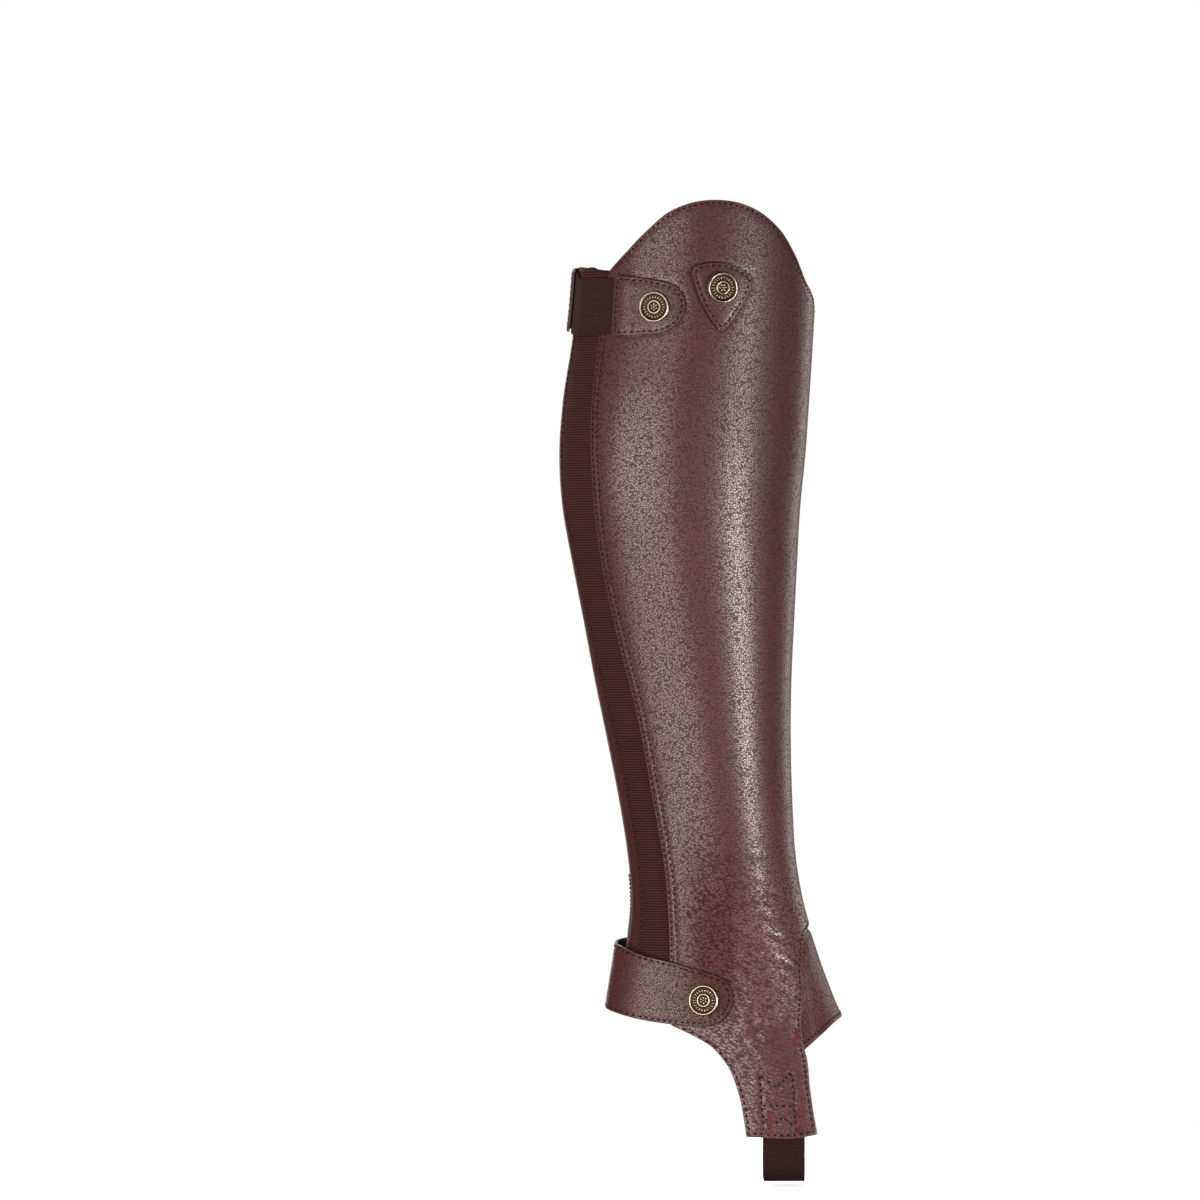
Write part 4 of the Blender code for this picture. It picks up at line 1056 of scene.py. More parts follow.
@dataclass(frozen=True)
class AntiqueBrass:
    """Brass with a dark patina left in its hollows."""

    name: str = "antique_brass"
    bright: tuple = rgb(0.56, 0.46, 0.30)
    dull: tuple = rgb(0.040, 0.031, 0.022)
    roughness: float = 0.33

    def material(self) -> bpy.types.Material:
        """Makes the material."""
        g = Graph(self.name)
        relief = g.value("relief")
        spots = g.noise(g.place(), 1500.0, 3.0, 0.65)
        # On the brass this is real wear: bright where rubbed, dark patina in the hollows
        wear_and_painted_light = (relief + (spots - 0.5) * 0.55).step(0.30, 0.80)
        g.set(Base_Color=g.mix(wear_and_painted_light, self.dull, self.bright), Metallic=1.0,
              Roughness=self.roughness + (1.0 - wear_and_painted_light) * 0.25)
        g.bump(spots, 0.05)
        return g.material


@dataclass(frozen=True)
class ZipMetal:
    """Dull metal of the zip's slider, pull and teeth."""

    name: str
    colour: tuple
    dark: tuple
    roughness: float = 0.38

    def material(self) -> bpy.types.Material:
        """Makes the material."""
        g = Graph(self.name)
        wear = g.noise(g.place(), 700.0, 3.0, 0.6)
        g.set(Base_Color=g.mix(wear.step(0.3, 0.7), self.dark, self.colour), Metallic=1.0,
              Roughness=self.roughness + wear * 0.15)
        g.bump(wear, 0.03)
        return g.material


LEATHER_FINISH = Leather()
# Dark cut edges for the strap pieces, the patch and the gusset: partly their edge paint, partly painted shade for the
# shadow line round them
DARK_EDGE = rgb(0.050, 0.018, 0.016)
# The small pieces have no coarse grain: it would start far below the foot
NO_COARSE = {"coarse_from": -900.0, "coarse_to": -1000.0}
STRAP_LEATHER_FINISH = Leather("strap_leather", edge=DARK_EDGE, pebble=0.9, gloss=0.60, **NO_COARSE)
GUSSET_FINISH = Leather("gusset_leather", edge=DARK_EDGE, pebble=0.9, gloss=0.42, gloss_roughness=0.34,
                        **NO_COARSE)
STIRRUP_FINISH = Woven("stirrup_elastic", rgb(0.028, 0.011, 0.010), rgb(0.004, 0.002, 0.002), Weave.PLAIN, 1.6, 1.6)
ELASTIC_FINISH = Woven("ribbed_elastic", rgb(0.058, 0.0187, 0.0135), rgb(0.013, 0.004, 0.003), Weave.RIBS, 1.35,
                        depth=0.15)
BINDING_FINISH = Woven("binding_tape", rgb(0.058, 0.018, 0.016), rgb(0.024, 0.007, 0.006), Weave.PLAIN, 0.9, 0.9, 0.1)
STRAP_ELASTIC_FINISH = Woven("strap_elastic", rgb(0.042, 0.018, 0.015), rgb(0.011, 0.005, 0.005), Weave.PLAIN,
                             1.1, 1.1)
TAPE_FINISH = Woven("zip_tape", rgb(0.044, 0.021, 0.018), rgb(0.015, 0.008, 0.007), Weave.TWILL, 1.0, 1.0, 0.2)
FACING_FINISH = Woven("facing_tape", rgb(0.040, 0.026, 0.024), rgb(0.012, 0.008, 0.008), Weave.TWILL, 1.2, 1.2)
THREAD_FINISH = Thread("burgundy_thread", rgb(0.014, 0.004, 0.005), rgb(0.005, 0.002, 0.002))
TACK_FINISH = Thread("tack_thread", rgb(0.150, 0.032, 0.026), rgb(0.052, 0.011, 0.009))
CORD_FINISH = Thread("pale_cord", rgb(0.15, 0.085, 0.075), rgb(0.05, 0.026, 0.024))
SLIDER_FINISH = ZipMetal("zip_brass", rgb(0.42, 0.31, 0.17), rgb(0.20, 0.14, 0.08))
TEETH_FINISH = ZipMetal("zip_teeth", rgb(0.27, 0.20, 0.135), rgb(0.11, 0.078, 0.052), 0.42)


Finish = Union[Leather, Suede, Woven, Thread, AntiqueBrass, ZipMetal]
MATERIALS: dict[str, bpy.types.Material] = {}


def material_of(finish: Finish) -> bpy.types.Material:
    """The finish's material, made when it is first asked for."""
    if finish.name not in MATERIALS:
        MATERIALS[finish.name] = finish.material()
    return MATERIALS[finish.name]


def settle(obj: bpy.types.Object, finish: Finish, slot: str, *nodes: str) -> bpy.types.Object:
    """Dresses a piece and fixes it to the chap.

    Args:
        obj: the piece.
        finish: what it is made of.
        slot: the name of the part's material that it belongs to, which is not used.
        nodes: the solids that it stands for.

    Returns:
        The piece.
    """
    obj.data.materials.append(material_of(finish))
    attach(obj, BODY)
    if nodes:
        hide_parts(*nodes)
    return obj


def declare(edge: Array,
            strip: float = 0.0) -> None:
    """Works out the flat size of a piece of cloth's cut, which is not kept.

    Args:
        edge: its outline, laid flat.
        strip: the width of an even strip that is cut straight, or 0.
    """
    flat, area = flat_size(edge)
    if strip:
        flat = (max(strip, LEAST_SIDE) * MM, area / (strip * MM))


def sew(name: str, seed: int, cloth: Cloth, slot: str) -> bpy.types.Object:
    """Makes the stitches along the lines of a piece of cloth.

    Args:
        name: the stitches' name.
        seed: where their small irregularities start.
        cloth: the piece that they go through.
        slot: the part's material that they belong to.

    Returns:
        The stitches, as one piece.
    """
    sewing = Sewing(name, seed)
    for line in cloth.lines:
        sewing.row(line, cloth.surface)
    return settle(sewing.build(), THREAD_FINISH, slot)


def lay(cloth: Cloth, finish: Finish, node: str, seed: int = 0,
        strip: float = 0.0, sewing: str = "") -> None:
    """Makes a piece of cloth in place of its solid, with its stitches, and works out the flat size of its cut.

    Args:
        cloth: the piece.
        finish: what it is made of.
        node: the solid that it stands for.
        seed: where its stitches' irregularities start, or 0 if it has none of its own.
        strip: the width of an even strip that is cut straight, or 0.
        sewing: its stitches' name, if it isn't the node's with _sewing after it.
    """
    piece = settle(cloth.build(), finish, node, node)
    extras = [sew(sewing or f"{node}_sewing", seed, cloth, node)] if seed else []
    declare(cloth.edge, strip)


def main_runs() -> dict[str, Array]:
    """The edges of the leather, in order: down the outer seam, round the foot, up the back, over."""
    outer = {"seam": OUTER_SEAM, "outer_hem": OUTER_HEM, "outer_tab_end": OUTER_TAB_END,
             "outer_tab_front": OUTER_TAB_FRONT, "outer_gusset": OUTER_GUSSET_SEAM}
    inner = {"inner_gusset": INNER_GUSSET_SEAM, "inner_tab_front": INNER_TAB_FRONT,
             "inner_tab_end": INNER_TAB_END, "inner_hem": INNER_HEM}
    runs = {name: seen_run(row, Side.OUTER) for name, row in outer.items()}
    runs.update({name: seen_run(row, Side.INNER) for name, row in inner.items()})
    runs["back"] = back_run(ZIP_OPEN_HALF, INNER_HEM[-1].z + 0.6, INNER_TOP[0].z, Side.INNER)
    runs["inner_top"] = seen_run(INNER_TOP, Side.INNER)
    runs["dome"] = seen_run(DOME, Side.OUTER)
    return runs


MAIN = main_runs()
MAIN_EDGE = outline(*MAIN.values())


def sewn_under(raised: float) -> Height:
    """Height of a piece whose edge lies under the leather and which rises to raised beside it."""
    under = -(LEATHER + SEAM_GAP)

    def height(chart: Array) -> Array:
        """Rises with the distance to the leather's edge."""
        beyond = np.where(inside(chart, MAIN_EDGE), 0.0, distance_to(chart, MAIN_EDGE))
        return under + (raised - under) * smoothstep((beyond - 0.5) / (SEAM_RISE - 0.5))
    return height


def trimmed(run: Array, start: float, end: float) -> Array:
    """A run without lengths at its start and end."""
    along = lengths(run)
    return run[(along >= start) & (along <= along[-1] - end)]


@dataclass
class LeatherBody:
    """The leather in one piece, its creases and its sewing.

    Attributes:
        stitch_in: distance of the edge stitching from the edge.
        seam_rows: distances of the two rows along the stretch panel.
        flare: how far the edge beside the zip's foot stands up.
        inner_shift: how the inner side's creases differ in place from the outer side's.
        crease_depth: how many times deeper the creases are than in their table.
        gusset_in, back_in: distance of the stitching along the gusset and along the zip.
        tack_lift: height of the tacks over the form.
        flare_from, flare_over: the level where the flare begins to grow, and over what height.
        flare_least, flare_width: its share above that, and how wide it is.
        waviness: how far the whole face waves in and out.
    """

    stitch_in: float = 1.8
    seam_rows: tuple[float, float] = (1.3, 4.4)
    flare: float = 1.5
    inner_shift: tuple[float, float] = (-3.0, 4.0)
    crease_depth: float = 1.9
    gusset_in: float = 1.4
    back_in: float = 2.2
    tack_lift: float = 0.30
    flare_from: float = -225.0
    flare_over: float = 30.0
    flare_least: float = 0.25
    flare_width: float = 5.0
    waviness: float = 0.16

    # A crease: how far it bows, the height and place of the ridges beside it, how it ends, its reach
    BOW, RIDGE, RIDGE_AT, ENDING, REACH = 0.05, 0.45, 1.7, 1.6, 1.6
    # Every fourth crease is left out on the inner side
    INNER_SKIPS = 4

    def creases(self) -> Array:
        """Rows of chart place, direction, length, width and depth."""
        rows = []
        for side in Side:
            shift = (0.0, 0.0) if side is Side.OUTER else self.inner_shift
            for i, crease in enumerate(ANKLE_CREASES):
                if side is Side.INNER and i % self.INNER_SKIPS == self.INNER_SKIPS - 1:
                    continue
                arc, z = FORM.seen(Seen(crease.x + shift[0], crease.z + shift[1]), side)
                turn = math.radians(180.0 - crease.turn if side is Side.OUTER else crease.turn)
                rows.append((arc, z, math.cos(turn), math.sin(turn), crease.length, crease.width,
                             crease.depth * self.crease_depth))
        return np.array(rows)

    def height(self, chart: Array) -> Array:
        """Height of the outer face before its stitched dips."""
        height = np.zeros(len(chart))
        for arc, z, ahead, up, length, width, depth in self._creases:
            dx, dz = chart[:, 0] - arc, chart[:, 1] - z
            near = np.abs(dx) + np.abs(dz) < length * self.REACH
            if not near.any():
                continue
            u = dx[near] * ahead + dz[near] * up
            v = dz[near] * ahead - dx[near] * up + self.BOW * u * u / length
            fall = np.exp(-(v / width) ** 2)
            ridges = self.RIDGE * np.exp(-((np.abs(v) - self.RIDGE_AT * width) / width) ** 2)
            height[near] -= depth * (fall - ridges) * np.exp(-self.ENDING * (u / (length / 2)) ** 2)
        s, z = chart[:, 0], chart[:, 1]
        height += self.waviness * np.sin(s / 17.0 + z / 46.0) * np.sin(z / 31.0 + 1.3)
        beside_zip = np.abs(s + FORM.half_girth(z) - ZIP_OPEN_HALF)
        low = smoothstep((self.flare_from - z) / self.flare_over) * (1 - self.flare_least) + self.flare_least
        height += self.flare * low * (1 - smoothstep(beside_zip / self.flare_width))
        return height

    def build(self) -> None:
        """Makes the leather and its sewing."""
        self._creases = self.creases()
        # Edge, how far in its stitches run, and what they leave free at its start and end
        table = (
            ("seam", self.seam_rows[0], 1.5, 2.5), ("seam", self.seam_rows[1], 3.0, 5.0),
            ("outer_hem", self.stitch_in, 3.0, 2.0), ("outer_tab_end", self.stitch_in, 3.0, 3.0),
            ("outer_tab_front", self.stitch_in, 2.0, 1.0), ("outer_gusset", self.gusset_in, 1.0, 3.0),
            ("inner_gusset", self.gusset_in, 3.0, 1.0), ("inner_tab_front", self.stitch_in, 1.0, 2.0),
            ("inner_tab_end", self.stitch_in, 2.0, 2.0), ("inner_hem", self.stitch_in, 2.0, 3.0),
            ("back", self.back_in, 3.0, 3.0), ("inner_top", self.stitch_in, 3.0, 2.0),
            ("dome", self.stitch_in, 2.0, 3.0),
        )
        rows = [trimmed(moved_in(MAIN[edge], inward), start, end) for edge, inward, start, end in table]
        for side, tab_rows in ((Side.OUTER, OUTER_TAB_ROWS), (Side.INNER, INNER_TAB_ROWS)):
            for tab_row in tab_rows:
                corners = [FORM.seen(spot, side) for spot in tab_row]
                straight = [curve(pair) for pair in zip(corners, corners[1:])]
                rows.append(np.concatenate([straight[0]] + [part[1:] for part in straight[1:]]))
        pressed = [looped(edge) for edge in (badge_edge(), tab_edge()[0], base_edge())]
        pressed.append(ankle_strap_edge())
        cloth = Cloth("leather_body", MAIN_EDGE, self.height, LEATHER, spacing=3.0, fine_below=-195.0,
                      fine_spacing=1.8, lines=rows,
                      pressed=[line[inside(line, MAIN_EDGE)] for line in pressed])
        body = settle(cloth.build(), LEATHER_FINISH, "main_panel", "main_panel")
        sewn = sew("leather_sewing", 3, cloth, "main_panel")
        tacks = Sewing("leather_tacks", 8)
        for side, blocks in ((Side.OUTER, OUTER_TACKS), (Side.INNER, INNER_TACKS)):
            for block in blocks:
                tacks.tack(block, side, self.tack_lift)
        tacked = settle(tacks.build(), TACK_FINISH, "main_panel")
        declare(MAIN_EDGE)


@dataclass
class Lining:
    """Suede lining and the binding tape along the inside of the top edge.

    The fields give the levels where the lining's sides end and how far in it and the tape lie.
    """

    top: float = 84.0
    seam_foot: float = -292.0
    back_foot: float = -284.0
    outer_foot: float = -316.0
    inner_foot: float = -312.0
    clear: float = 0.8
    hem_in: float = 2.0
    facing_in: float = 0.6

    def build(self) -> None:
        """Makes the lining and the tape."""
        hem_outer = MAIN["outer_hem"][MAIN["outer_hem"][:, 1] > self.outer_foot]
        hem_inner = MAIN["inner_hem"][MAIN["inner_hem"][:, 1] > self.inner_foot]
        gusset_tuck = GUSSET_TUCK + 1.2
        back = MAIN["back"]
        seam = moved_in(MAIN["seam"], ELASTIC_TUCK + 1.0)
        top, dome = (moved_in(MAIN[name], FACING_WIDTH + self.clear) for name in ("inner_top", "dome"))
        edge = outline(
            seam[(seam[:, 1] < self.top) & (seam[:, 1] > self.seam_foot)],
            trimmed(moved_in(hem_outer, self.hem_in), 6.0, 0.0),
            trimmed(moved_in(MAIN["outer_gusset"], gusset_tuck), 7.0, 12.0),
            [(0.0, INNER_GUSSET_SEAM[0].z + gusset_tuck)],
            trimmed(moved_in(MAIN["inner_gusset"], gusset_tuck), 12.0, 7.0),
            trimmed(moved_in(hem_inner, self.hem_in), 0.0, 12.0),
            back[(back[:, 1] > self.back_foot) & (back[:, 1] < self.top)]
            + (ZIP_TAPE_WIDTH + self.clear - ZIP_OPEN_HALF, 0.0),
            trimmed(top, 20.0, 7.0), trimmed(dome, 7.0, 20.0))
        cloth = Cloth("suede_lining", edge, even(-(LEATHER + SEAM_GAP)), LINING,
                      spacing=4.5, rounding=0.2)
        lay(cloth, Suede(), "lining")
        upper = np.concatenate([trimmed(moved_in(MAIN["inner_top"], self.facing_in), 20.0, 1.0),
                                trimmed(moved_in(MAIN["dome"], self.facing_in), 1.0, 14.0)])
        lower = np.concatenate([trimmed(moved_in(MAIN["inner_top"], FACING_WIDTH), 20.0, 6.0),
                                trimmed(moved_in(MAIN["dome"], FACING_WIDTH), 6.0, 14.0)])
        tape_edge = outline(upper, lower[::-1])
        tape = Cloth("dome_facing_tape", tape_edge, even(-(LEATHER + SEAM_GAP)),
                     LINING, spacing=2.0, rounding=0.2)
        lay(tape, FACING_FINISH, "dome_facing", strip=FACING_WIDTH)


@dataclass
class StretchPanel:
    """The ribbed stretch panel of the outer back and the tape sewn on it beside the zip.

    The tape is tape_least wide and gets wider by tape_more, from tape_from down over tape_over. Its
    length is worked out for the even width tape_strip.
    """

    row_in: float = 2.0
    tape_least: float = 3.6
    tape_more: float = 9.4
    tape_from: float = 40.0
    tape_over: float = 200.0
    tape_lift: float = -0.18
    tape_thickness: float = 0.26
    tape_row_in: float = 1.3
    tape_strip: float = 8.0
    cord_top: float = -222.0
    cord_foot: float = -263.0
    cord_lift: float = 0.7

    def build(self) -> None:
        """Makes the panel and the row that holds it to the zip tape."""
        tucked = moved_in(MAIN["seam"], ELASTIC_TUCK)
        tucked = tucked[(tucked[:, 1] < 88.0) & (tucked[:, 1] > -296.0)]
        top, hem = seen_run(ELASTIC_TOP, Side.OUTER), seen_run(ELASTIC_HEM, Side.OUTER)
        edge = outline([top[0] - (ELASTIC_TUCK, 0.0)], tucked, [hem[-1] - (ELASTIC_TUCK - 1.0, 1.5)],
                       hem[::-1][:-1], back_run(-ZIP_OPEN_HALF, ELASTIC_HEM[0].z + 0.4, ELASTIC_TOP[-1].z),
                       top[::-1][1:])
        row = back_run(-ZIP_OPEN_HALF - self.row_in, ELASTIC_HEM[0].z + 4.0, ELASTIC_TOP[-1].z - 3.0)
        cloth = Cloth("stretch_panel", edge, sewn_under(-0.5), ELASTIC, spacing=2.4, lines=[row], rounding=0.35,
                      dip=0.3)
        lay(cloth, ELASTIC_FINISH, "elastic_panel", 5, sewing="stretch_panel_sewing")
        self.binding()

    def binding(self) -> None:
        """Makes the tape along the zip, wider towards the foot, with its stitches and the cord at its end."""
        levels = np.linspace(ELASTIC_TOP[-1].z - 1.0, ELASTIC_HEM[0].z + 1.5, 240)
        near = np.stack([FORM.half_girth(levels) - ZIP_OPEN_HALF - 0.1, levels], axis=1)
        width = self.tape_least + self.tape_more * smoothstep((self.tape_from - levels) / self.tape_over)
        far = near - np.stack([width, 0 * width], axis=1)
        edge = outline(near, far[::-1])
        row = trimmed(near - np.stack([width - self.tape_row_in, 0 * width], axis=1), 2.0, 2.0)
        cloth = Cloth("stretch_panel_binding", edge, even(self.tape_lift),
                      self.tape_thickness, spacing=2.4, lines=[row], rounding=0.1, dip=0.06)
        piece = settle(cloth.build(), BINDING_FINISH, "elastic_panel")
        sewn = sew("binding_sewing", 21, cloth, "elastic_panel")
        cord = Sewing("zip_edge_cord", 22)
        low = near[(levels < self.cord_top) & (levels > self.cord_foot)]
        cord.row(low, even(self.cord_lift), pitch=2.1, length=2.3, radius=0.6, lift=0.0)
        corded = settle(cord.build(), CORD_FINISH, "elastic_panel")
        declare(edge,
                strip=self.tape_strip)


@dataclass
class InstepGusset:
    """The instep piece between the two front seams."""

    stitch_in: float = 1.8
    top_free: float = 11.0
    corner: float = 1.5

    def build(self) -> None:
        """Makes the gusset and the stitching of its hem."""
        outer_seam = trimmed(moved_in(MAIN["outer_gusset"], GUSSET_TUCK), 0.0, self.top_free)
        inner_seam = trimmed(moved_in(MAIN["inner_gusset"], GUSSET_TUCK), self.top_free, 0.0)
        outer_hem, inner_hem = seen_run(GUSSET_HEM_OUTER, Side.OUTER), seen_run(GUSSET_HEM_INNER, Side.INNER)
        edge = outline([outer_hem[0] + (GUSSET_TUCK - self.corner, 0.0)], outer_seam[2:],
                       [(0.0, INNER_GUSSET_SEAM[0].z + GUSSET_TUCK - self.corner)], inner_seam[:-2],
                       [inner_hem[-1] - (GUSSET_TUCK - self.corner, 0.0)], inner_hem[::-1], outer_hem[::-1])
        around = inset(edge, self.stitch_in)
        around = around[distance_to(around, np.concatenate([inner_hem[::-1], outer_hem[::-1]]), False) < 1.95]
        cloth = Cloth("instep_gusset_leather", edge, sewn_under(-0.6), GUSSET, spacing=2.2,
                      lines=[around[np.argsort(around[:, 0])]])
        lay(cloth, GUSSET_FINISH, "instep_gusset", 6)


@dataclass
class Zip:
    """The closed zip up the back: tapes, teeth, slider and pull."""

    tooth_pitch: float = 1.5
    tooth_half: float = 2.5
    tooth_overlap: float = 0.9
    tooth_size: float = 0.62
    sunk: float = 0.25
    bevel: float = 0.18

    def tape(self, name: str, node: str, side: int) -> None:
        """Makes one tape."""
        near, far = side * GAP / 2, side * (GAP / 2 + ZIP_TAPE_WIDTH)
        edge = outline(back_run(near, ZIP_TOP, ZIP_BOTTOM), back_run(far, ZIP_BOTTOM, ZIP_TOP))
        cloth = Cloth(name, edge, even(-(LEATHER + ZIP_GAP)), TAPE, spacing=3.0,
                      rounding=0.2)
        lay(cloth, TAPE_FINISH, node, strip=ZIP_TAPE_WIDTH)

    def teeth(self) -> None:
        """Makes the two rows of teeth, interlocked."""
        section = ((-self.tooth_half, 0.0), (-self.tooth_half, 0.75), (-1.4, 1.15), (0.1, 1.25),
                   (self.tooth_overlap, 0.9), (self.tooth_overlap, 0.0))
        levels = np.arange(ZIP_BOTTOM + 3.0, ZIP_TOP - 2.0, self.tooth_pitch / 2)
        base = -(LEATHER + ZIP_GAP) + self.sunk
        vertices, triangles = [], []
        count = len(section)
        for i, z in enumerate(levels):
            side = -1 if i % 2 else 1
            for rise in (-0.5, 0.5):
                chart = np.array([(FORM.half_girth(z + rise * self.tooth_size) + side * u, z + rise * self.tooth_size)
                                  for u, _ in section])
                vertices.append(FORM.place(chart, base + np.array([h for _, h in section])))
            start = i * 2 * count
            order = range(count) if side > 0 else range(count - 1, -1, -1)
            ring = [start + k for k in order]
            upper = [k + count for k in ring]
            for k in range(1, count - 1):
                triangles += [(ring[0], ring[k], ring[k + 1]), (upper[0], upper[k + 1], upper[k])]
            for k in range(count):
                j = (k + 1) % count
                triangles += [(ring[k], upper[k], upper[j]), (ring[k], upper[j], ring[j])]
        obj = make_object("zip_teeth_rows", np.concatenate(vertices), np.array(triangles),
                          {"shade": np.zeros(len(levels) * 2 * count)}, 30.0)
        settle(obj, TEETH_FINISH, "zip_chain", "zip_chain")

    def metal(self) -> None:
        """Rounds the edges of the slider and the pull and gives them their metal."""
        for node in ("zip_slider", "zip_pull"):
            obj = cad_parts[node]
            bevel = obj.modifiers.new("soft_edges", "BEVEL")
            bevel.width, bevel.segments, bevel.limit_method = self.bevel * MM, 2, "ANGLE"
            for slot in obj.material_slots:
                slot.material = material_of(SLIDER_FINISH)

    def build(self) -> None:
        """Makes the zip."""
        self.tape("zip_tape_inner_side", "zip_tape_inner", 1)
        self.tape("zip_tape_outer_side", "zip_tape_outer", -1)
        self.teeth()
        self.metal()


def badge_edge() -> Array:
    """Outline of the shield-shaped patch."""
    return outline(*(seen_run(run, Side.OUTER, 1.0) for run in (SHIELD_TOP, SHIELD_FRONT, SHIELD_BACK)))


def tab_edge() -> tuple[Array, Array, Array]:
    """Outline of the top strap's tab, and the lower and the upper end of its sewn edge."""
    front = seen_run(STRAP_TAB_FRONT, Side.OUTER, 1.5)
    return outline(front, curve((front[-1], front[0]))), front[-1], front[0]


def base_edge() -> Array:
    """Outline of the top strap's base on the inner side, which ends at BASE_END."""
    front = seen_run(STRAP_BASE_FRONT, Side.INNER, 1.5)
    start, middle = TOP_STRAP_BACK[0], TOP_STRAP_BACK[1]
    high, low = ([(-FORM.half_girth(np.array(z)) + u, z) for u, z in ends] for ends in (
        ((BASE_END, middle.top + 0.3), (start.u, start.top)),
        ((start.u, start.bottom), (BASE_END, middle.bottom - 0.3))))
    return outline(curve(high + [front[0]])[:-1], front, curve([front[-1]] + low)[1:],
                   back_run(BASE_END, middle.bottom - 0.3, middle.top + 0.3, Side.INNER))


def strap_heights(edge_at: Height, direction: int, climb: float) -> Height:
    """Height of a strap end that climbs over the elastic beside its sewn edge, then lies down."""
    def height(chart: Array) -> Array:
        """Falls with the distance to the sewn edge."""
        along = (chart[:, 0] - edge_at(chart[:, 1])) * direction
        return GAP + STRAP + climb * (1 - smoothstep((along - STRAP_TUCK - 0.8) / 7.0))
    return height


def station_run(stations: Sequence[Station], edge: str, side: Side) -> Array:
    """The upper or lower edge of a strap across the back, from its stations."""
    levels = np.array([getattr(row, edge) for row in stations])
    return np.stack([side * FORM.half_girth(levels) + [row.u for row in stations], levels], axis=1)


def ankle_strap_edge() -> Array:
    """The ankle strap's outline in the chart, from the back along its top to its front end and back."""
    top = np.concatenate([station_run(ANKLE_STRAP_BACK, "top", Side.OUTER),
                          [FORM.seen(spot, Side.OUTER, 2.0) for spot in ANKLE_STRAP_TOP]])
    bottom = np.concatenate([[FORM.seen(spot, Side.OUTER, 2.0) for spot in ANKLE_STRAP_BOTTOM],
                             station_run(ANKLE_STRAP_BACK, "bottom", Side.OUTER)[::-1]])
    return outline(curve(top), seen_run(ANKLE_STRAP_END, Side.OUTER, 2.0), curve(bottom))


@dataclass
class TopStrap:
    """The strap over the head of the zip: gathered base, elastic and tab.

    The gathers and the second row of stitches are placed by their distance to the middle of the back.
    """

    wave_start: float = 14.0
    wave_end: float = 33.0
    waves: int = 3
    wave_height: float = 0.9
    stitch_in: float = 1.7
    second_in: float = 2.9
    second_from: float = 34.5

    def base(self) -> None:
        """Makes the sewn base on the inner side, with its gathers and its rows."""
        girth = FORM.half_girth
        edge = base_edge()
        lap = strap_heights(lambda z: -girth(z) + BASE_END, 1, ELASTIC + SEAM_GAP + 0.1)

        def gathered(chart: Array) -> Array:
            """The lapped height with the gathers on it."""
            u = chart[:, 0] + girth(chart[:, 1])
            across = np.clip((u - self.wave_start) / (self.wave_end - self.wave_start), 0, 1)
            lean = across + 0.02 * np.sin(chart[:, 1] / 6.0)
            return lap(chart) + self.wave_height * np.sin(np.clip(lean, 0, 1) * self.waves * math.pi) ** 2
        around = inset(edge, self.stitch_in)
        u = around[:, 0] + girth(around[:, 1])
        around = np.roll(around, -int(np.argmin(u)), axis=0)
        second = inset(edge, self.stitch_in + self.second_in)
        second = second[(second[:, 0] + girth(second[:, 1])) > self.second_from]
        turn = np.arctan2(second[:, 1] - second[:, 1].mean(), second[:, 0] - second[:, 0].min())
        second = second[np.argsort(turn)]
        upright = [curve([(-girth(np.array(z)) + u, z) for u, z in pair]) for pair in (
            ((34.0, 91.0), (33.6, 65.0)), ((1.6, 91.0), (1.6, 64.0)))]
        cloth = Cloth("top_strap_base_leather", edge, gathered, STRAP, spacing=1.5,
                      lines=[around, second] + upright)
        lay(cloth, STRAP_LEATHER_FINISH, "top_strap_base", 11)

    def tab(self) -> tuple[Array, Array]:
        """Makes the leather tab and returns the two ends of its sewn edge."""
        edge, low_end, high_end = tab_edge()

        def seam_at(z: Array) -> Array:
            """Arc length of the sewn edge."""
            return np.interp(z, [low_end[1], high_end[1]], [low_end[0], high_end[0]])
        around = looped(inset(edge, self.stitch_in))
        cloth = Cloth("top_strap_tab_leather", edge, strap_heights(seam_at, -1, ELASTIC + SEAM_GAP), STRAP,
                      spacing=1.8, lines=[around])
        lay(cloth, STRAP_LEATHER_FINISH, "top_strap_tab", 12)
        return low_end, high_end

    def elastic(self, low_end: Array, high_end: Array) -> None:
        """Makes the elastic round the back, between the base and the tab."""
        tuck_u = STRAP_TUCK - 1.0
        girth = FORM.half_girth
        middle = TOP_STRAP_BACK[1]
        upper = [(girth(np.array(92.6)) + tuck_u, middle.top)]
        lower = [(girth(np.array(63.0)) + tuck_u, 63.0)]
        upper += list(station_run(TOP_STRAP_BACK[1:], "top", Side.OUTER))
        lower += list(station_run(TOP_STRAP_BACK[1:], "bottom", Side.OUTER))
        upper += [(high_end[0], high_end[1] - 1.2), (high_end[0] - STRAP_TUCK, high_end[1] - 1.6)]
        lower += [(low_end[0], low_end[1] + 1.6), (low_end[0] - STRAP_TUCK, low_end[1] + 2.0)]
        edge = outline(curve(upper), curve(lower)[::-1])
        cloth = Cloth("top_strap_elastic_band", edge, even(GAP + ELASTIC), ELASTIC,
                      spacing=2.0, rounding=0.3)
        lay(cloth, STRAP_ELASTIC_FINISH, "top_strap_elastic")

    def build(self) -> None:
        """Makes the strap."""
        self.base()
        self.elastic(*self.tab())


@dataclass
class Badge:
    """The shield-shaped patch below the dome."""

    stitch_in: float = 1.6

    def build(self) -> None:
        """Makes the patch and its sewing."""
        edge = badge_edge()
        around = looped(inset(edge, self.stitch_in))
        middle = edge.mean(axis=0)

        def height(chart: Array) -> Array:
            """A little higher in the middle."""
            crown = 1 - smoothstep(np.hypot(*(chart - middle).T) / 18.0)
            return GAP + BADGE + 0.35 * crown
        cloth = Cloth("badge_patch_leather", edge, height, BADGE, spacing=1.8, lines=[around], dip=0.3)
        lay(cloth, STRAP_LEATHER_FINISH, "badge_patch", 13)


